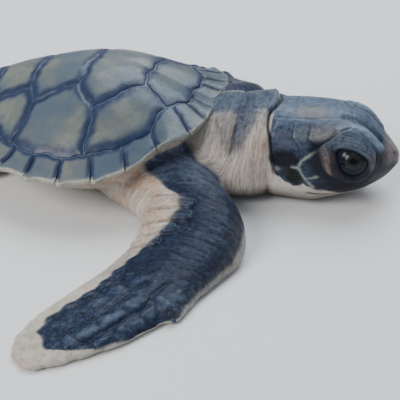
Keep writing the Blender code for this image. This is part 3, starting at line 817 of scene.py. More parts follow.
def refine(obj, wanted):
    """Divide the chosen faces into four and ease the new points."""
    middles = np.empty(len(obj.data.polygons) * 3)
    obj.data.polygons.foreach_get("center", middles)
    chosen = wanted(middles.reshape(-1, 3) / MM)
    bpy.ops.object.mode_set(mode="EDIT")
    bpy.ops.mesh.select_mode(type="FACE")
    bpy.ops.mesh.select_all(action="DESELECT")
    bpy.ops.object.mode_set(mode="OBJECT")
    obj.data.polygons.foreach_set("select", chosen)
    bpy.ops.object.mode_set(mode="EDIT")
    bpy.ops.mesh.subdivide(number_cuts=1, smoothness=0.0, quadcorner="INNERVERT")
    bpy.ops.object.mode_set(mode="OBJECT")
    p = points_of(obj) / MM
    move_points(obj, relax(p, edges_of(obj), np.where(wanted(p), EASE, 0.0), 3))


def head_and_neck(p):
    """The head, the neck and the near shoulder, where the folds are finest."""
    neck = (p[:, 0] > 26) & (np.abs(p[:, 1] - NECK_MIDDLE) < 13.5) & (p[:, 2] > 0.6)
    shoulder = (p[:, 0] > 9) & (p[:, 1] < -10) & (p[:, 1] > -22) & (p[:, 2] > 3)
    return neck | shoulder & (rim_share(p[:, 0], p[:, 1]) > 0.9)


def head_side(p):
    """The side of the head that carries the finest markings."""
    return (p[:, 0] > 37.5) & (p[:, 1] < -6.5) & (p[:, 2] > 2) & (p[:, 2] < 16.5)


def lids(p, reach):
    """The lids of both eyes."""
    gap, _, _, depth, _ = from_outline(EYE_OPENING, in_head_frame(p))
    return (np.abs(gap - 0.2) < reach) & (depth > 0.5)


def near_flipper(p):
    """The upper side of the near front flipper, with its pads and folds."""
    return (p[:, 0] > 6) & (p[:, 1] < -20) & (p[:, 2] > 0.5)


refine(skin, lambda p: head_and_neck(p) | near_flipper(p))
refine(skin, lambda p: head_side(p) | lids(p, 2.2))
refine(skin, lambda p: lids(p, 0.55))

p = points_of(skin) / MM
n = normals_of(skin)
h = in_head_frame(p)
x, z = p[:, 0], p[:, 2]
hx, hw = h[:, 0], np.abs(h[:, 1])


def between(value, low, high, soft):
    """1 inside a span, easing to 0 outside it."""
    return step(low - soft, low + soft, value) * (1 - step(high - soft, high + soft, value))


def valley(phase, sharp):
    """Narrow valleys once in every turn of the phase."""
    return (1 - np.abs(np.sin(phase / 2))) ** sharp


def gap_to(line, q, facing=None):
    """Distance from places to a line of straight stretches, along the surface if it is given."""
    line = np.array(line, float)
    gap = np.full(len(q), FAR)
    low, high = line.min(0) - 2, line.max(0) + 2
    near = np.flatnonzero(((q > low) & (q < high)).all(1))
    for a, b in zip(line, line[1:]):
        d = b - a
        share = np.clip(((q[near] - a) @ d) / (d @ d), 0, 1)
        off = q[near] - a - share[:, None] * d
        if facing is not None:
            f = facing[near]
            off = off - 0.9 * (off * f).sum(1)[:, None] * f
        gap[near] = np.minimum(gap[near], np.linalg.norm(off, axis=1))
    return gap


def level(table, at):
    """Read a table of pairs at places."""
    return np.interp(at, [row[0] for row in table], [row[1] for row in table])


# Where the two front limbs are, and how far out along them.
limb_x, limb_out = in_limb_frame(p, -1)
left_x, left_out = in_limb_frame(p, 1)
is_left = p[:, 1] > 0
limb_x = np.where(is_left, left_x, limb_x)
limb_out = np.where(is_left, left_out, limb_out)
flat = np.stack([limb_x, limb_out], 1)
on_limb = step(0.0, 3.0, limb_out - 9.5 - 3.0 * step(21.5, 26.0, x)) * (x > BEHIND_FLIPPERS)
upward = step(-0.1, 0.35, n[:, 2])
_, lead, trail, _, _, _, _ = limb_station(np.clip(limb_out, 11, 59.8)).T
from_lead, from_trail = np.maximum(lead - limb_x, 0), np.maximum(limb_x - trail, 0)
neck_w = np.abs(p[:, 1] - NECK_MIDDLE)

# Fine folds: coordinates across and along them, rings round the neck and arcs over the limb.
NAPE = ((6.0, 39.4), (7.6, 39.1), (9.3, 38.6), (11.9, 38.1), (13.8, 37.7), (15.2, 37.2),
        (16.6, 37.0), (17.6, 37.4))
KNUCKLE = (27.0, 47.0)
FOLD_PITCH = 1.05
neck_turn = np.arctan2(z - 7, NECK_MIDDLE - p[:, 1])
fold_neck = np.stack([x - 0.05 * (z - 8), 9 * neck_turn, 0 * x], 1)
arc = np.hypot(limb_x - KNUCKLE[0], limb_out - KNUCKLE[1])
arc_turn = np.arctan2(limb_x - KNUCKLE[0], KNUCKLE[1] - limb_out)
fold_limb = np.stack([arc, 17 * arc_turn, 0 * x], 1)
folds = fold_neck * (1 - on_limb)[:, None] + fold_limb * on_limb[:, None]
from_root = x - REAR_ROOT[0], np.abs(p[:, 1]) - REAR_ROOT[1]
rear_reach = from_root[0] * cos(REAR_ANGLE) + from_root[1] * sin(REAR_ANGLE)
rear_across = from_root[1] * cos(REAR_ANGLE) - from_root[0] * sin(REAR_ANGLE)
behind = 1 - step(-17, -14, x)
fold_rear = np.stack([rear_reach, rear_across, 0 * x], 1)
folds = np.where(behind[:, None] > 0.5, fold_rear, folds)
neck_part = between(x, 14, 38.5, 1.0) * (1 - on_limb)
neck_part = neck_part * (1 - step(-1.2, 0.0, hx - level(NAPE, z)))
limb_part = on_limb * (1 - step(38, 44, limb_out)) * (1 - behind)
fold_depth = 0.9 * neck_part + 0.8 * limb_part + 0.5 * behind + 0.12 * on_limb

u, v = folds[:, 0], folds[:, 1]
phase = 2 * pi * u / FOLD_PITCH + 1.2 * np.sin(0.33 * v + 0.6) + 0.9 * np.sin(0.8 * u + 0.21 * v)
crease = valley(phase, 3.0)
crease2 = valley(phase * 0.53 + 1.7 * np.sin(0.5 * v), 3.0)
sink = (0.08 * crease + 0.11 * crease2) * (neck_part + 0.8 * limb_part * upward + 0.4 * behind)

# The head: borders of its scales, mouth, nostrils and the fold behind the jaw.
SCALE_SEAMS = (
    ((38.6, 5.0, 16.0), (41.6, 5.2, 16.5), (44.2, 5.2, 16.6), (47.1, 4.6, 16.8),
     (49.6, 3.9, 16.9), (51.4, 3.0, 16.8)),
    ((41.0, -1.0, 17.3), (41.3, 2.9, 17.0), (41.6, 5.2, 16.5), (41.7, 7.1, 15.3), (41.8, 8.4, 13.9)),
    ((44.3, 5.2, 16.6), (44.6, 6.6, 15.9), (44.7, 7.8, 14.8), (44.6, 8.4, 14.0)),
    ((47.6, -1.0, 17.4), (47.2, 2.1, 17.3), (47.3, 4.6, 16.8)),
    ((41.8, 8.4, 13.9), (43.0, 8.9, 12.9), (43.5, 9.5, 11.6), (43.4, 9.7, 10.3)),
    ((51.4, 0.0, 17.0), (51.9, 2.9, 16.6), (52.6, 4.4, 16.2)),
    ((55.4, 0.0, 15.2), (55.6, 2.9, 14.2), (56.5, 4.3, 12.6)),
    ((55.4, 0.0, 15.2), (57.0, 0.0, 13.6), (59.0, 0.0, 11.7)),
    ((38.5, 0.0, 16.8), (41.0, 0.0, 17.3)),
    ((57.4, 4.6, 11.8), (58.2, 4.2, 10.4), (58.4, 4.6, 8.6)),
)
BROW_LINE = ((44.6, 8.3, 13.9), (46.2, 8.6, 13.2), (47.6, 8.0, 14.1), (49.1, 7.3, 14.9),
             (50.2, 6.4, 15.6), (51.6, 5.6, 16.0))
LID_CREST = ((50.2, 6.9, 15.4), (52.2, 5.7, 16.0), (54.2, 5.0, 15.4), (55.9, 4.7, 14.0),
             (57.2, 4.4, 12.4))
LID_DIP = ((50.6, 3.0, 16.9), (53.0, 3.0, 16.2), (55.2, 3.0, 14.6), (57.2, 2.8, 12.6))
CREAM_LINES = (
    ((46.3, 8.8, 12.6), (45.1, 9.3, 11.4), (43.8, 9.5, 10.2), (43.5, 9.7, 9.2)),
    ((42.3, 9.7, 8.9), (43.5, 9.7, 8.9), (44.1, 9.7, 7.8), (45.0, 9.6, 6.6), (46.4, 9.3, 5.1)),
    ((45.1, 9.6, 6.8), (46.2, 9.5, 7.1), (46.9, 9.4, 7.3)),
)
PALE_LINE = ((38.7, 5.9, 15.7), (38.4, 6.9, 14.9), (38.2, 7.8, 13.9))
SCALE_SEAM = 0.15
MOUTH = ((44.6, 3.7), (48.0, 3.2), (52.0, 3.3), (55.5, 4.1), (58.5, 5.6), (60.5, 7.3), (62.0, 8.2))
NOSTRIL = (60.2, 2.0, 10.3)
q = np.stack([hx, hw, z], 1)
facing = np.stack([n[:, 0], n[:, 1] * np.sign(h[:, 1]), n[:, 2]], 1)
head_on = step(37.2, 38.0, hx)
seam = np.min([gap_to(stretch, q, facing) for stretch in SCALE_SEAMS], axis=0)
brow_line = gap_to(BROW_LINE, q, facing)
cream_line = np.min([gap_to(stretch, q, facing) for stretch in CREAM_LINES], axis=0)
below_mouth = level(MOUTH, hx) - z
in_mouth = bell(below_mouth, 0, 0.20) * step(44.8, 46.0, hx)
jaw_step = step(0.0, 0.35, below_mouth) * (1 - step(1.0, 3.0, below_mouth)) * step(46, 50, hx)
from_nostril = np.linalg.norm(q - np.array(NOSTRIL), axis=1)
pit = bell(from_nostril, 0, 0.40)
brow_depth = 0.14 + 0.20 * bell(hx, 46.6, 1.3)
seam_dent = 0.12 * bell(seam, 0, SCALE_SEAM)
sink = sink + head_on * (seam_dent + brow_depth * bell(brow_line, 0, 0.20))
sink = sink + head_on * (0.30 * in_mouth + 0.28 * jaw_step + 0.45 * pit)
nape_place = level(NAPE, z) + 1.1 * np.clip(1 - hw / 5.0, 0, 1) * step(15.8, 17.4, z)
collar = bell(hx, nape_place, 0.26) * step(5.0, 8.0, z)
sink = sink + 0.75 * collar
sink = sink - 0.34 * bell(hx, nape_place - 0.95, 0.7) * step(8, 13, z)
sink = sink - 0.25 * bell(hx, 46.3, 2.6) * bell(z, 2.4, 1.5) * step(5, 8, hw)
from_crest, from_dip = gap_to(LID_CREST, q, facing), gap_to(LID_DIP, q, facing)
sink = sink - 0.50 * bell(from_crest, 0, 0.85) + 0.40 * bell(from_dip, 0, 0.8)

# The shoulder: a deep fold and a soft lobe in front of the shell's corner.
SHOULDER_FOLD = ((30.6, 4.3, 16.4), (31.0, 7.9, 14.8), (30.9, 10.2, 12.5), (30.9, 11.0, 11.1),
                 (31.2, 11.7, 9.4))
STRIPES = (
    ((27.2, 6.4, 15.2), (27.9, 7.8, 14.3), (28.5, 8.9, 13.4)),
    ((28.6, 8.2, 14.2), (29.3, 10.2, 12.2)),
    ((29.4, 8.6, 14.4), (30.0, 10.6, 12.2), (30.3, 11.6, 10.6)),
)
neck_q = np.stack([x, neck_w, z], 1)
fold = gap_to(SHOULDER_FOLD, neck_q)
fold_fade = step(3.6, 6.5, neck_w) * step(8.6, 11.5, z)
sink = sink + 0.60 * bell(fold, 0, 0.6) * fold_fade
sink = sink - 0.40 * bell(x, 28.2, 2.2) * bell(neck_w, 6.6, 3.2) * bell(z, 15.0, 2.6)

# The blade: pads of scale over the digits, grooves between them, soft lobes at the armpit.
DIGIT = np.array((-0.60, 0.80))
# Pads: forward, out, half length, half width and how pale.
PADS = (
    (19.2, 52.6, 1.5, 1.1, 1.0), (21.5, 49.5, 2.0, 1.15, 1.0), (24.0, 46.1, 2.0, 1.4, 0.2),
    (17.2, 54.8, 1.2, 1.0, 0.7), (27.8, 44.6, 1.3, 1.15, 0.5), (26.6, 47.2, 1.2, 1.0, 0.6),
    (25.3, 49.3, 1.2, 0.9, 0.4), (23.6, 51.4, 1.2, 0.8, 0.3), (21.7, 53.4, 1.1, 0.7, 0.3),
    (20.4, 44.2, 1.7, 0.8, 0.5), (18.3, 47.0, 1.7, 0.8, 0.6), (16.2, 49.7, 1.5, 0.8, 0.4),
    (14.3, 52.1, 1.2, 0.8, 0.3), (29.8, 42.8, 1.2, 1.1, 0.3), (23.0, 41.8, 1.6, 0.9, 0.2),
    (18.0, 43.2, 1.4, 0.6, 0.2), (16.2, 45.8, 1.4, 0.6, 0.2), (14.4, 48.4, 1.3, 0.6, 0.2),
)
DIGIT_GROOVES = (
    ((15.2, 54.6), (17.1, 52.4), (19.7, 49.4), (21.0, 46.9), (22.4, 44.0), (24.6, 41.8)),
    ((19.4, 54.6), (20.8, 52.4), (22.6, 50.3), (23.9, 48.2), (25.6, 46.6), (26.2, 43.6),
     (27.6, 41.2)),
    ((12.9, 51.4), (15.2, 48.0), (18.0, 44.6), (20.6, 41.6)),
)
# Lobes: out, rear end, where the cream turns dark, front end.
LOBES = (
    (25.0, 20.8, 24.6, 28.0), (27.2, 19.8, 24.0, 28.3), (29.7, 19.3, 22.4, 26.2),
    (32.3, 19.6, 21.4, 23.8),
)
LOBE_HALF = 1.25
LOBE_ROUND = 1.4
SCALLOP = 2.7
CLAW_MOUND = (29.5, 45.2)
blade = on_limb * upward * (x > 0)
pad_tone, pad_rise, pad_rim = np.zeros((3, len(p)))
for px, py, long, wide, shade in PADS:
    away = flat + 0.22 * np.sin(1.9 * flat[:, ::-1] + (0.4, 1.7)) - (px, py)
    lengthwise, sideways = away @ DIGIT / long, away @ (DIGIT[1], -DIGIT[0]) / wide
    filled = 1 - (np.abs(lengthwise) ** 2.6 + np.abs(sideways) ** 2.6)
    pad_rise = np.maximum(pad_rise, step(0.0, 0.8, filled))
    pad_tone = np.maximum(pad_tone, shade * step(-0.1, 0.7, filled))
    pad_rim = np.maximum(pad_rim, bell(filled, -0.15, 0.3))
lobe_rise, lobe_edge, lobe_cream = np.zeros((3, len(p)))
for out, start, turn_dark, end in LOBES:
    off = limb_out - out - 0.10 * (limb_x - 24)
    past_end = np.maximum((limb_x - end + LOBE_ROUND) / LOBE_ROUND, 0)
    filled = 1 - np.abs(off / LOBE_HALF) ** 2.2 - past_end ** 2.2
    filled = np.where(limb_x > start - 1, filled, -9)
    lobe_rise = np.maximum(lobe_rise, step(0.0, 0.7, filled))
    lobe_edge = np.maximum(lobe_edge, bell(filled, -0.05, 0.30))
    still_cream = 1 - step(turn_dark - 1.4, turn_dark + 1.8, limb_x)
    lobe_cream = np.maximum(lobe_cream, step(0.0, 0.5, filled) * still_cream)
digit_groove = np.min([gap_to(stretch, flat) for stretch in DIGIT_GROOVES], axis=0)
sink = sink + blade * (0.30 * bell(digit_groove, 0, 0.30) - 0.24 * pad_rise)
sink = sink + blade * (0.24 * lobe_edge - 0.46 * lobe_rise)
sink = sink - 0.85 * on_limb * np.exp(-((flat - CLAW_MOUND) ** 2).sum(1) / 1.7)
sink = sink + 0.85 * on_limb * bell(limb_out, 35.5, 4.0) * np.exp(-from_lead / 2.0)
edge_wave = np.abs(np.sin(pi * limb_out / SCALLOP + 0.6 * np.sin(limb_out)))
both_edges = np.exp(-from_trail / 0.8) + np.exp(-from_lead / 0.8)
sink = sink - 0.14 * edge_wave * on_limb * (x > 0) * both_edges * (limb_out > 30)
moved = p - n * sink[:, None]

# The lids: skin drawn close over the ball, its edge turned in, a roll below, folds above.
LID_SEAT = 0.5
LID_THICK = 0.84
LID_EDGE = 0.30
LID_SWELL = 0.42
LID_PITCH = 0.52
ORBIT_DEPTH = 0.52
gap, eye_across, eye_up, eye_depth, away = from_outline(EYE_OPENING, in_head_frame(moved))
fold_gap = from_outline(EYE_FOLD, in_head_frame(moved))[0]
at_eye = step(0.2, 0.9, eye_depth)
by_eye = step(-2.0, -1.2, eye_depth) * (gap < 6)
above = step(-0.6, 0.8, eye_up + 0.42 * eye_across)
inside = np.clip(gap, 0, None) / (np.clip(gap, 0, None) + np.clip(-fold_gap, 1e-3, None))
lip = step(-0.16, 0.07, gap)
lid = EYE_RADIUS - LID_SEAT + LID_THICK * lip + LID_EDGE * step(0.0, 0.5, gap)
merge = (1 - step(0.10, 1.0, inside)) * at_eye
lid_folds = valley(2 * pi * gap / LID_PITCH + 0.8 * np.sin(0.9 * eye_across), 2.0)
lid_folds = lid_folds * step(0.1, 0.4, gap) * (1 - step(0.75, 1.0, inside)) * (fold_gap < 0)
centre = np.array(EYE_PLACE) * np.where(h[:, 1:2] < 0, (1, -1, 1), 1)
mh = in_head_frame(moved)
outward = (mh - centre) / np.maximum(away, 1e-6)[:, None]
orbit_width = 0.24 + 0.20 * (1 - above)
orbit = 0.45 + 0.55 * np.maximum(1 - above, step(-2.0, -3.5, eye_across))
orbit = bell(fold_gap, 0, orbit_width) * at_eye * orbit
swell = LID_SWELL * np.sin(pi * np.clip(inside, 0, 1)) * (fold_gap < 0) * (gap > 0)
target = away * (1 - merge) + lid * merge + swell * at_eye
target = target - ORBIT_DEPTH * orbit - 0.07 * lid_folds * at_eye
near_eye = (gap < 5.0) & (eye_depth > 0.1)
mh = np.where(near_eye[:, None], centre + outward * target[:, None], mh)
moved = np.where(near_eye[:, None], on_head(mh[:, 0], mh[:, 1], mh[:, 2]), moved)
moved[:, 2] = np.maximum(moved[:, 2], 0.0)
move_points(skin, moved)

# What colour lies where. First the slate over the cream, then how light the slate is.
THROAT = (
    (37.0, 7.6), (39.1, 6.8), (40.2, 6.6), (41.4, 5.7), (42.6, 5.1), (44.1, 5.2), (44.5, 5.8),
    (45.6, 5.1), (46.9, 4.7), (49.4, 4.3), (51.5, 3.6), (55.5, 4.3), (59.4, 6.4), (61.5, 8.4),
)
DARK_FROM = (
    (11, 14.0), (15, 15.2), (18, 16.8), (20, 18.6), (21.5, 20.8), (24, 24.6), (26.5, 25.0),
    (29, 24.2), (31.7, 22.9), (34.5, 20.5), (39.1, 18.2), (43.8, 16.5), (47.5, 13.9), (50.9, 12.0),
    (53.8, 12.0), (56, 13.9), (56.8, 14.6),
)
DARK_TO = (
    (11, 40), (22, 38), (25.9, 36.5), (29.2, 36.7), (33.4, 36.3), (36.6, 34.6), (40.1, 32.5),
    (45.6, 30.3), (47.2, 28.8), (50, 26.8), (52.8, 23.3), (54.4, 21.4), (55.8, 18.4), (56.8, 14.8),
)
BLUE_FROM = ((31.0, 10.8), (33.0, 12.0), (34.2, 14.4), (34.9, 16.2), (37.5, 16.9))
REAR_HALF = [row[:2] for row in REAR]
HEAD_HALF = [row[:2] for row in HEAD]
BROW_HEIGHT = [place[::2] for place in BROW_LINE]
ROLL = ((46.9, 8.5, 13.3), (47.6, 9.1, 11.5), (48.3, 9.3, 9.9), (49.1, 9.2, 8.2))

slate_head = head_on * step(-0.28, 0.28, z - level(THROAT, hx) + 0.12 * np.sin(3.1 * hx))
slate_head = slate_head * step(-0.2, 0.3, hx - nape_place)
slate_neck = 0.74 * step(-3.6, 2.6, z - level(BLUE_FROM, x)) * between(x, 30.7, 39.5, 0.35)
slate_neck = np.maximum(slate_neck, 0.85 * step(7.0, 4.0, neck_w) * (z > 9) * (x > 10))
slate_neck = np.maximum(slate_neck, 0.45 * step(9.0, 14.0, z) * between(x, 26.0, 31.2, 1.5))
slate_neck = slate_neck * (1 - on_limb) * (1 - slate_head)
soft = 0.9 + 2.2 * (1 - step(18, 23, limb_out)) + 0.9 * between(limb_out, 23, 33, 1.5)
dark_from = level(DARK_FROM, limb_out) + 0.25 * np.sin(2.2 * limb_out)
slate_limb = 1 - (1 - step(-0.9, 0.8, (limb_x - dark_from - 0.3) / soft)) ** 2.2
slate_limb = slate_limb * step(-0.5, 0.6, level(DARK_TO, limb_out) - limb_x) * blade
slate_limb = slate_limb * (1 - step(56.2, 57.2, limb_out)) * (1 - lobe_cream ** 2)
rear_tip = np.maximum(rear_reach - 15.5, 0) / 6.6
rear_edge = np.hypot(rear_across / level(REAR_HALF, rear_reach), rear_tip)
rear_edge = rear_edge + 0.04 * np.sin(1.5 * rear_reach + 0.8 * np.sin(rear_reach))
rear_edge = rear_edge + 0.04 * np.sin(2.1 * rear_across)
slate_rear = behind * (1 - step(0.55, 0.95, rear_edge))
slate_tail = behind * (np.abs(p[:, 1]) < 4.5) * step(1.0, 2.6, z)
slate_rear = np.maximum(slate_rear, slate_tail) * upward
slate = np.clip(np.max([slate_head, slate_neck, slate_limb, slate_rear], axis=0), 0, 1)

side = step(0.55, 0.80, hw / level(HEAD_HALF, hx))
top = step(15.3, 16.9, z + 0.25 * np.maximum(hx - 51, 0) ** 1.25) * head_on
tone = 0.42 + 0.45 * top
tone = tone + 0.12 * between(hx, 37.5, 43.4, 0.4) * between(z, 12.6, 16.2, 0.7) * side
# Along the crest of the lid the slate is lighter: a painted highlight of its wet sheen.
tone = (tone + 0.75 * bell(from_crest, 0, 1.1)) * head_on
limb_tone = 0.10 + 0.06 * step(36, 44, limb_out) + 0.24 * pad_tone * blade
limb_tone = limb_tone + 0.05 * pad_rise + 0.32 * lobe_rise * blade
tone = np.where(on_limb > 0.5, limb_tone, tone)
# On the neck the slate is darker beside the shoulder fold: painted shade in the fold.
tone = np.where((on_limb < 0.5) & (head_on < 0.5), 0.72 - 0.25 * bell(x, 32.2, 1.6), tone)
tone = np.where(behind > 0.5, 0.2, tone)
# The shoulder under the shell's rim: lighter slate, partly its own lavender and partly painted light
# against the rim's shadow.
shoulder = on_limb * (1 - step(20, 24, limb_out)) * (x > 0)
tone = tone + shoulder * (0.30 + 0.45 * (1 - step(18.0, 23.5, limb_x)))


def patch(centre_x, centre_z, long, high, tilt=0.0, soft=0.35):
    """A soft-edged oval on the side of the head."""
    a = (hx - centre_x) * cos(tilt) + (z - centre_z) * sin(tilt)
    b = (z - centre_z) * cos(tilt) - (hx - centre_x) * sin(tilt)
    edge = np.sqrt((a / long) ** 2 + (b / high) ** 2) + 0.07 * np.sin(2.6 * hx + 3.1 * z)
    return (1 - step(1 - soft, 1 + soft, edge)) * side * head_on


crown_scale = between(hx, 41.7, 47.3, 0.2) * between(hw, 1.2 + 2.6 * (h[:, 1] > 0), 5.0, 0.3)
temple_scale = between(hx, 41.7, 44.5, 0.3) * between(z, 13.9, 16.5, 0.5) * side * head_on
over_eye = between(hx, 44.7, 50.6, 0.3) * step(0.0, 0.4, z - level(BROW_HEIGHT, hx))
over_eye = over_eye * (brow_line > 0.1) * step(16.9, 16.3, z + 0.25 * (hw < 4.6)) * side
beside_snout = between(hx, 55.0, 58.6, 1.0) * between(z, 7.5, 11.8, 1.0) * head_on
roll = bell(gap_to(ROLL, q, facing), 0, 0.50)
ring = bell(fold_gap, 0.5, 1.2) * by_eye * (1 - above) * (fold_gap > 0)
in_fold = step(0.2, -0.4, fold_gap)
line_width = 0.24 + 0.06 * np.sin(2.3 * z + hx)
pale_spot = np.hypot((hx - 39.7) / 0.55, (z - 8.2) / 0.42)
nape_lip = bell(hx, nape_place - 0.45, 0.3) * step(16.6, 17.3, z) * step(4.5, 3.0, hw)
neck_blush = bell(x, 36.9, 0.55) * bell(z, 12.5, 1.2) * (neck_w > 7)
neck_warm = between(x, 34.6, 37.2, 0.6) * bell(z, 11.0, 3.6) * (neck_w > 6)
shoulder_lobe = bell(x, 28.3, 2.0) * bell(neck_w, 6.2, 2.6) * step(13.5, 15, z)
armpit = on_limb * (1 - slate) * (x > 0)
front_edge = np.exp(-from_lead / 1.5)
front_line = np.exp(-from_lead / 0.9)

# Coats of colour over the skin, each with its share of cover and its colour, lowest first.
coats = {
    "cheek shadow": (0.97 * patch(40.9, 10.3, 2.8, 1.8), (0.004, 0.004, 0.009)),
    "temple patch": (0.60 * patch(40.2, 13.4, 2.2, 1.6), (0.055, 0.062, 0.096)),
    "jaw spot": (0.97 * patch(42.6, 7.2, 2.3, 1.35, -0.7), (0.008, 0.012, 0.007)),
    "jaw spot rim": (0.80 * patch(40.4, 7.8, 1.5, 1.1), (0.018, 0.024, 0.030)),
    "grey below the eye line": (0.75 * patch(46.3, 8.8, 2.6, 2.6, 0.0, 0.3), (0.026, 0.038, 0.068)),
    "jaw line shade": (0.85 * patch(49.0, 5.2, 3.2, 1.0), (0.016, 0.018, 0.036)),
    "shade below the snout": (0.97 * patch(54.2, 5.5, 4.0, 1.8, 0.2), (0.003, 0.003, 0.005)),
    "grey of the beak side": (0.60 * patch(58.2, 7.0, 2.4, 1.0, 0.5), (0.060, 0.072, 0.070)),
    # painted highlight: the pale blue wet sheen along the crest of the near lid
    "painted highlight on the brow": (
        0.80 * bell(from_crest, 0, 1.1) * step(50.5, 52.5, hx), (0.24, 0.32, 0.42),
    ),
    "temple scale": (0.75 * temple_scale, (0.115, 0.140, 0.150)),
    "side of the snout": (0.88 * beside_snout, (0.013, 0.013, 0.016)),
    "crown scale": (0.75 * crown_scale * (z > 14) * head_on, (0.135, 0.130, 0.120)),
    "scale over the eye": (0.80 * over_eye, (0.215, 0.205, 0.195)),
    "beak, upper half": (
        0.85 * step(57.9, 59.5, hx + 0.18 * (z - 9)) * step(8.0, 9.6, z), (0.22, 0.175, 0.16),
    ),
    "beak, lower half": (0.7 * step(57.8, 59.4, hx) * step(9.8, 8.2, z), (0.050, 0.050, 0.042)),
    "beak point": (0.9 * bell(hx, 61.2, 0.5) * bell(z, 9.0, 0.5), (0.40, 0.37, 0.30)),
    "nostril": (0.75 * pit + 0.4 * bell(from_nostril, 0.45, 0.3), (0.11, 0.055, 0.045)),
    "below the eye": (0.90 * by_eye * in_fold * (1 - above), (0.018, 0.012, 0.013)),
    "upper lid": (0.65 * at_eye * in_fold * above, (0.105, 0.125, 0.160)),
    "shade behind the lower fold": (0.85 * ring, (0.004, 0.004, 0.007)),
    "roll behind the eye": (0.85 * roll, (0.21, 0.16, 0.13)),
    "top of the roll": (0.7 * roll * step(11.0, 12.6, z), (0.11, 0.135, 0.18)),
    "front corner of the lid": (
        0.5 * bell(eye_across, 2.9, 0.6) * bell(eye_up, 0.1, 0.8) * at_eye, (0.13, 0.075, 0.075),
    ),
    "pale line of the temple": (
        0.7 * bell(gap_to(PALE_LINE, q, facing), 0, 0.15), (0.20, 0.22, 0.22),
    ),
    "cream lines of the cheek": (
        0.9 * bell(cream_line, 0, line_width) * head_on, (0.28, 0.32, 0.27),
    ),
    "pale cheek spot": (0.7 * bell(pale_spot, 0, 1) * side * head_on, (0.30, 0.32, 0.32)),
    "lip of the nape fold": (0.45 * nape_lip, (0.42, 0.44, 0.40)),
    "blush of the neck": (0.65 * neck_blush, (0.50, 0.22, 0.17)),
    "warm side of the neck": (0.45 * neck_warm, (0.48, 0.36, 0.30)),
    "shoulder lobe": (0.6 * shoulder_lobe, (0.20, 0.19, 0.18)),
    # painted shade: the underside of the neck and jaw darkened where little light reaches
    "painted shade on the underside": (0.85 * step(5.6, 1.4, z) * (neck_part + 0.9 * head_on), (0.10, 0.072, 0.06)),
    # painted shade: the sunken dip between the lids darkened
    "painted shade in the dip between the lids": (0.75 * bell(from_dip, 0, 0.7), (0.020, 0.028, 0.044)),
    "lobes of the armpit": (0.60 * blade * lobe_cream, (0.62, 0.47, 0.34)),
    # painted shade: the sunken creases round the lobes darkened
    "painted shade in the creases of the lobes": (0.55 * blade * lobe_edge * (1 - slate_limb), (0.26, 0.19, 0.15)),
    "cream of the rear edge": (0.55 * armpit * step(30, 36, limb_out), (0.37, 0.37, 0.30)),
    "grey of the front edge": (
        0.35 * on_limb * between(limb_out, 26, 46, 2) * front_edge, (0.20, 0.21, 0.20),
    ),
    # the shoulder's lavender, made lighter as painted light against the shadow under the rim
    "shoulder lavender with painted light": (
        0.85 * shoulder * slate * (1 - step(14, 20, limb_out)), (0.19, 0.22, 0.32),
    ),
    "armpit blush": (
        0.50 * armpit * bell(limb_x, 19.2, 1.6) * bell(limb_out, 21.0, 1.5), (0.60, 0.33, 0.16),
    ),
    "inner armpit blush": (
        0.35 * armpit * bell(limb_x, 14.5, 2.6) * bell(limb_out, 20.5, 1.8), (0.55, 0.34, 0.20),
    ),
    "warm front edge": (
        0.30 * on_limb * between(limb_out, 24, 36, 2) * front_line, (0.42, 0.32, 0.28),
    ),
}
paint = np.zeros((len(p), 3))
cover = np.zeros(len(p))
for share, coat in coats.values():
    share = np.clip(share, 0, 1)
    total = 1 - (1 - cover) * (1 - share)
    mixed = paint * (cover * (1 - share))[:, None] + np.array(coat) * share[:, None]
    paint = mixed / np.maximum(total, 1e-6)[:, None]
    cover = total

# Dark lines, the darkest one counting: real seams of the head scales and neck stripes, and painted
# shade in folds, creases, grooves, the mouth, the lid edges and round the eyes.
eye_fold_shade = bell(fold_gap, 0, orbit_width + 0.12 * (1 - above)) * by_eye
eye_fold_shade = 0.95 * eye_fold_shade * (0.35 + 0.65 * np.maximum(1 - above, step(-2.5, -4.0, eye_across)))
lobe_crease_shade = 0.34 * blade * lobe_edge * (0.4 + 0.6 * step(22.5, 24.5, limb_x)) * (1 - lobe_rise)
stripe = np.min([gap_to(line, neck_q) for line in STRIPES], axis=0)
crease_shade_and_seams = np.max([
    0.50 * bell(seam, 0, SCALE_SEAM) * head_on * (0.35 + 0.65 * side),
    (0.55 + 0.4 * bell(hx, 46.6, 1.4)) * bell(brow_line, 0, 0.19) * head_on,
    0.85 * in_mouth * head_on,
    0.9 * collar * (0.35 + 0.65 * step(7, 9, z)),
    eye_fold_shade,
    0.95 * bell(gap, -0.05, 0.14) * at_eye,
    0.50 * lid_folds * at_eye,
    0.85 * blade * bell(digit_groove, 0, 0.24),
    0.45 * blade * np.clip(pad_rim, 0, 1) * (1 - pad_rise),
    lobe_crease_shade,
    0.75 * bell(fold, 0, 0.42) * fold_fade,
    0.45 * bell(stripe, 0, 0.4),
    (0.40 * crease + 0.35 * crease2) * limb_part * slate,
    (0.08 * crease + 0.12 * crease2) * neck_part,
], axis=0)

pink = 0.55 * between(x, 5, 22, 3) * (1 - slate) * step(12, 16, np.abs(p[:, 1]))
pink = np.maximum(pink, 0.22 * neck_part)
on_blade = on_limb * (0.30 + 0.70 * step(34, 42, limb_out)) * upward * (1 - 0.7 * pad_rise)
for name, values in {
    "slate": slate,
    "tone": np.clip(tone, 0, 1),
    "cover": cover,
    "paint": paint,
    # the dark lines: painted shade in folds and grooves, and the dark seams
    "crease_shade_and_seams": np.clip(crease_shade_and_seams, 0, 1),
    "pink": pink,
    "folds": folds,
    "fold_depth": np.clip(fold_depth, 0, 1),
    "cells": np.clip(slate * (on_blade + 0.5 * behind), 0, 1),
}.items():
    note(skin, name, values)
smooth_faces(skin)

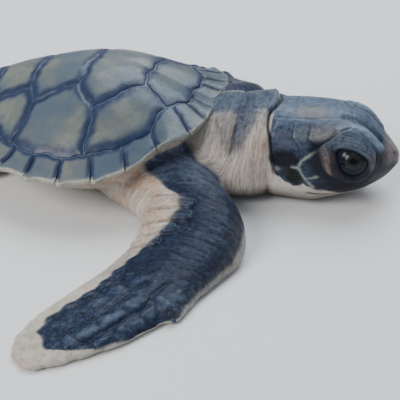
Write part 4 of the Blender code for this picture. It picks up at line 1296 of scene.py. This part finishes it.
hide = Finish("skin_wet")
where = hide.places()
cloud = hide.noise(where, 160, 3.0)
blotch = hide.noise(where, 520, 4.0, 0.6)
mottle = hide.noise(where, 1100, 4.0, 0.65)
speck = hide.noise(where, 2200, 3.0, 0.6)
pore = hide.noise(where, 7000, 2.0, 0.6)
stretch = hide.scaled(hide.kept("folds", "Vector"), (1.7, 0.20, 1.0))
ridge = hide.off_crease(hide.noise(stretch, 1.0, 3.0, 0.55, 0.2), 0.5, 0.10)
fine_stretch = hide.scaled(stretch, (2.6, 2.4, 1.0))
fine_ridge = hide.off_crease(hide.noise(fine_stretch, 1.0, 2.0, 0.5, 0.2), 0.5, 0.12)
depth = hide.kept("fold_depth")
ridges = hide.sum("ADD", ridge, hide.sum("MULTIPLY", fine_ridge, 0.5))
fold_height = hide.sum("MULTIPLY", ridges, depth)
tile_inputs = {"Vector": where, "Scale": 1100.0, "Randomness": 0.85}
tile = hide.add("ShaderNodeTexVoronoi", tile_inputs, feature="DISTANCE_TO_EDGE")
tile = hide.span(tile.outputs["Distance"], 0.02, 0.22)
tile_height = hide.sum("MULTIPLY", tile, hide.kept("cells"))

ragged = hide.centred(blotch, 0.55)
slate_at = hide.span(hide.sum("ADD", hide.kept("slate"), ragged), 0.10, 0.90)
tone_at = hide.sum("ADD", hide.kept("tone"), hide.sum("MULTIPLY", ragged, 0.5))
tone_at = hide.sum("ADD", tone_at, hide.centred(mottle, 1.1))
pink_at = hide.sum("MULTIPLY", hide.kept("pink"), hide.span(blotch, 0.40, 0.62))
cream = hide.blend(hide.span(cloud, 0.3, 0.7), (0.60, 0.54, 0.46), (0.50, 0.46, 0.41))
cream = hide.blend(pink_at, cream, (0.52, 0.29, 0.17))
cream = hide.blend(hide.span(speck, 0.5, 0.8, 0.0, 0.35), cream, (0.33, 0.28, 0.25))
cream = hide.shaded(hide.span(mottle, 0.34, 0.52, 0.5, 0.0), cream, (0.62, 0.62, 0.64))
deep = hide.blend(hide.span(blotch, 0.35, 0.7), (0.006, 0.013, 0.036), (0.015, 0.027, 0.064))
light = hide.blend(hide.span(blotch, 0.35, 0.7), (0.090, 0.122, 0.170), (0.058, 0.082, 0.120))
dark_skin = hide.blend(hide.span(tone_at, 0.0, 1.0), deep, light)
dark_skin = hide.shaded(hide.span(mottle, 0.36, 0.52, 0.7, 0.0), dark_skin, (0.45, 0.50, 0.58))
# Pale bluish flecks on the dark skin: painted small wet glints.
dark_skin = hide.blend(hide.span(mottle, 0.58, 0.72, 0.0, 0.22), dark_skin, (0.14, 0.17, 0.20))
colour = hide.blend(slate_at, cream, dark_skin)
painted = hide.kept("paint", "Vector")
painted = hide.shaded(hide.span(speck, 0.4, 0.7, 0.35, 0.0), painted, (0.5, 0.5, 0.5))
painted = hide.shaded(hide.span(mottle, 0.40, 0.56, 0.55, 0.0), painted, (0.50, 0.54, 0.60))
cover_at = hide.sum("MULTIPLY", hide.kept("cover"), hide.span(blotch, 0.25, 0.50, 0.85, 1.0))
colour = hide.blend(cover_at, colour, painted)
# Painted shade in the hollows between the ridges of the folds.
fold_shade = hide.sum("MULTIPLY", hide.sum("SUBTRACT", 1.0, ridge), depth)
colour = hide.shaded(hide.sum("MULTIPLY", fold_shade, 0.36), colour, (0.42, 0.38, 0.40))
between_tiles = hide.sum("MULTIPLY", hide.sum("SUBTRACT", 1.0, tile), hide.kept("cells"))
colour = hide.shaded(hide.sum("MULTIPLY", between_tiles, 0.55), colour, (0.45, 0.45, 0.50))
# Lay the dark lines: painted shade in the folds and grooves, and the dark seams of the scales.
colour = hide.blend(hide.kept("crease_shade_and_seams"), colour, (0.006, 0.009, 0.016))
small = hide.bump(pore, 0.012, 0.7)
small = hide.bump(speck, 0.045, 0.65, small)
small = hide.bump(tile_height, 0.07, 0.8, small)
hide.set(
    Base_Color=colour,
    Roughness=hide.span(speck, 0.3, 0.75, 0.38, 0.60),
    Normal=hide.bump(fold_height, 0.14, 0.85, small),
    Specular_IOR_Level=0.16,
    Coat_Weight=0.09,
    Coat_Roughness=0.13,
    Subsurface_Weight=0.12,
    Subsurface_Radius=(1.0, 0.5, 0.3),
    Subsurface_Scale=0.0006,
)
skin.data.materials.append(hide.material)
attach(skin, "root")
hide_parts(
    "trunk", "neck", "head", "lower_jaw", "front_flipper_left_arm", "front_flipper_right_arm",
    "front_flipper_left_blade", "front_flipper_right_blade", "rear_flipper_left",
    "rear_flipper_right", "tail",
)

# ---------------------------------------------------------------- eyes
# Dark wet balls with a slate-grey iris, a paler ring in it and a small black pupil, bulged over
# the pupil. Each is set in its socket so that only the part inside the lids shows.

IRIS_REACH = 1.65
PUPIL_REACH = 0.55
PUPIL_GAZE = (0.107, 0.929, 0.354)
EYE_SUNK = 0.1
EYE_BULGE = 0.16

iris = Finish("eye_wet")
where = iris.places()
reach = iris.kept("from_pupil")
ray = iris.scaled(iris.kept("eye_place", "Vector"), (1.0, 1.0, 0.25))
streak = iris.span(iris.noise(ray, 2.2, 4.0, 0.6), 0.35, 0.65)
cloud = iris.span(iris.noise(where, 500, 3.0), 0.3, 0.7)
ball_colour = iris.blend(cloud, (0.003, 0.006, 0.011), (0.007, 0.011, 0.018))
iris_colour = iris.blend(streak, (0.005, 0.006, 0.007), (0.017, 0.017, 0.016))
in_iris = iris.span(reach, IRIS_REACH - 0.12, IRIS_REACH + 0.08, 1.0, 0.0)
colour = iris.blend(in_iris, ball_colour, iris_colour)
ring = iris.sum("ABSOLUTE", iris.sum("SUBTRACT", reach, IRIS_REACH - 0.35), 0.0)
colour = iris.blend(iris.span(ring, 0.0, 0.22, 0.5, 0.0), colour, (0.030, 0.032, 0.033))
in_pupil = iris.span(reach, PUPIL_REACH - 0.06, PUPIL_REACH + 0.06, 1.0, 0.0)
colour = iris.blend(in_pupil, colour, (0.001, 0.001, 0.0015))
iris.set(
    Base_Color=colour,
    Roughness=0.25,
    Specular_IOR_Level=0.05,
    Coat_Weight=0.28,
    Coat_Roughness=0.03,
)


def turned_to(places, axis):
    """Turn places so that what pointed up points along an axis."""
    return places @ np.array(axis.to_track_quat("Z", "Y").to_matrix()).T


for word, side in (("left", 1), ("right", -1)):
    eye = ball(f"eye_{word}_ball", 96, 72)
    start, polar, _ = ball_angles(eye)
    axis = Vector(PUPIL_GAZE).normalized()
    axis.y *= side
    from_pupil = polar * EYE_RADIUS
    bulge = EYE_BULGE * (1 - step(0.9, 2.1, from_pupil))
    seat = on_head(EYE_PLACE[0], side * EYE_PLACE[1], EYE_PLACE[2])
    move_points(eye, seat + turned_to(start, axis) * (EYE_RADIUS - EYE_SUNK + bulge)[:, None])
    note(eye, "from_pupil", from_pupil)
    note(eye, "eye_place", start * 3.0)
    smooth_faces(eye)
    eye.data.materials.append(iris.material)
    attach(eye, "root")
    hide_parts(f"eye_{word}")

# ---------------------------------------------------------------- claws
# One small blunt claw of blue-grey horn on the front edge of each front flipper, seated in the
# skin at the knuckle of the first digit.

CLAW_BASE = (28.9, 44.9, 1.1)
CLAW_TIP = (30.3, 46.5, 0.8)
CLAW_RADIUS = 0.95
CLAW_LIFT = 0.02

claw_horn = Finish("claw_horn")
where = claw_horn.places()
grain = claw_horn.noise(where, 3000, 3.0)
grey = claw_horn.span(grain, 0.3, 0.7)
claw_horn.set(
    Base_Color=claw_horn.blend(grey, (0.045, 0.065, 0.100), (0.020, 0.034, 0.065)),
    Roughness=0.38,
    Normal=claw_horn.bump(grain, 0.02),
)
for word, side in (("left", 1), ("right", -1)):
    claw = ball(f"claw_{word}_horn", 24, 24)
    start = points_of(claw)
    base, tip = (limb_to_body(*np.array(end), side) for end in (CLAW_BASE, CLAW_TIP))
    axis = Vector(tip - base)
    share = (start[:, 2] + 1) / 2
    width = CLAW_RADIUS * (1 - 0.65 * share ** 1.5)
    local = np.stack([start[:, 0] * width, start[:, 1] * width, share * axis.length], 1)
    places = base + turned_to(local, axis)
    places[:, 2] = np.maximum(places[:, 2], CLAW_LIFT)
    move_points(claw, places)
    smooth_faces(claw)
    claw.data.materials.append(claw_horn.material)
    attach(claw, "root")
    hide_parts(f"claw_{word}")

# ---------------------------------------------------------------- floor, lights and camera
# A plain pale floor to lie on. A wide round light stands above and behind, and a second one in
# front on the other side; a pale blue sky fills the rest.

bpy.ops.object.select_all(action="DESELECT")
bpy.ops.mesh.primitive_plane_add(size=6, location=(0, 0, 0))
floor = bpy.context.object
floor.name = "floor"
ground = Finish("pale_floor")
ground.set(Base_Color=(0.70, 0.69, 0.67, 1), Roughness=0.8)
floor.data.materials.append(ground.material)


def soft_light(name, place, aim, size, power, colour):
    """A round soft light aimed at a point."""
    bpy.ops.object.light_add(type="AREA", location=place)
    lamp = bpy.context.object
    lamp.data.shape = "DISK"
    lamp.name = name
    lamp.data.size = size
    lamp.data.energy = power
    lamp.data.color = colour
    lamp.rotation_euler = (Vector(aim) - Vector(place)).to_track_quat("-Z", "Y").to_euler()


AIM = (0.015, -0.01, 0.008)
SKY_STRENGTH = 0.46
soft_light("sky_light", (0.04, 0.26, 0.42), AIM, 0.45, 3.2, (0.84, 0.92, 1.0))
soft_light("fill_light", (-0.30, -0.36, 0.36), AIM, 0.34, 3.3, (1.0, 0.98, 0.96))
world = bpy.data.worlds.new("studio")
bpy.context.scene.world = world
world.use_nodes = True
sky = world.node_tree.nodes["Background"]
sky.inputs[0].default_value = (0.78, 0.86, 1.0, 1)
sky.inputs[1].default_value = SKY_STRENGTH

CAMERA_PLACE = (0.05009, -0.10943, 0.06533)
CAMERA_AIM = (0.02841, -0.02449, 0.0080)
CAMERA_LENS = 55.72
CAMERA_SENSOR = 36
bpy.ops.object.camera_add(location=CAMERA_PLACE)
camera = bpy.context.object
camera.name = "camera"
line_of_sight = Vector(CAMERA_AIM) - Vector(CAMERA_PLACE)
camera.rotation_euler = line_of_sight.to_track_quat("-Z", "Y").to_euler()
camera.data.sensor_width = CAMERA_SENSOR
camera.data.lens = CAMERA_LENS
camera.data.clip_start = 0.005
bpy.context.scene.camera = camera
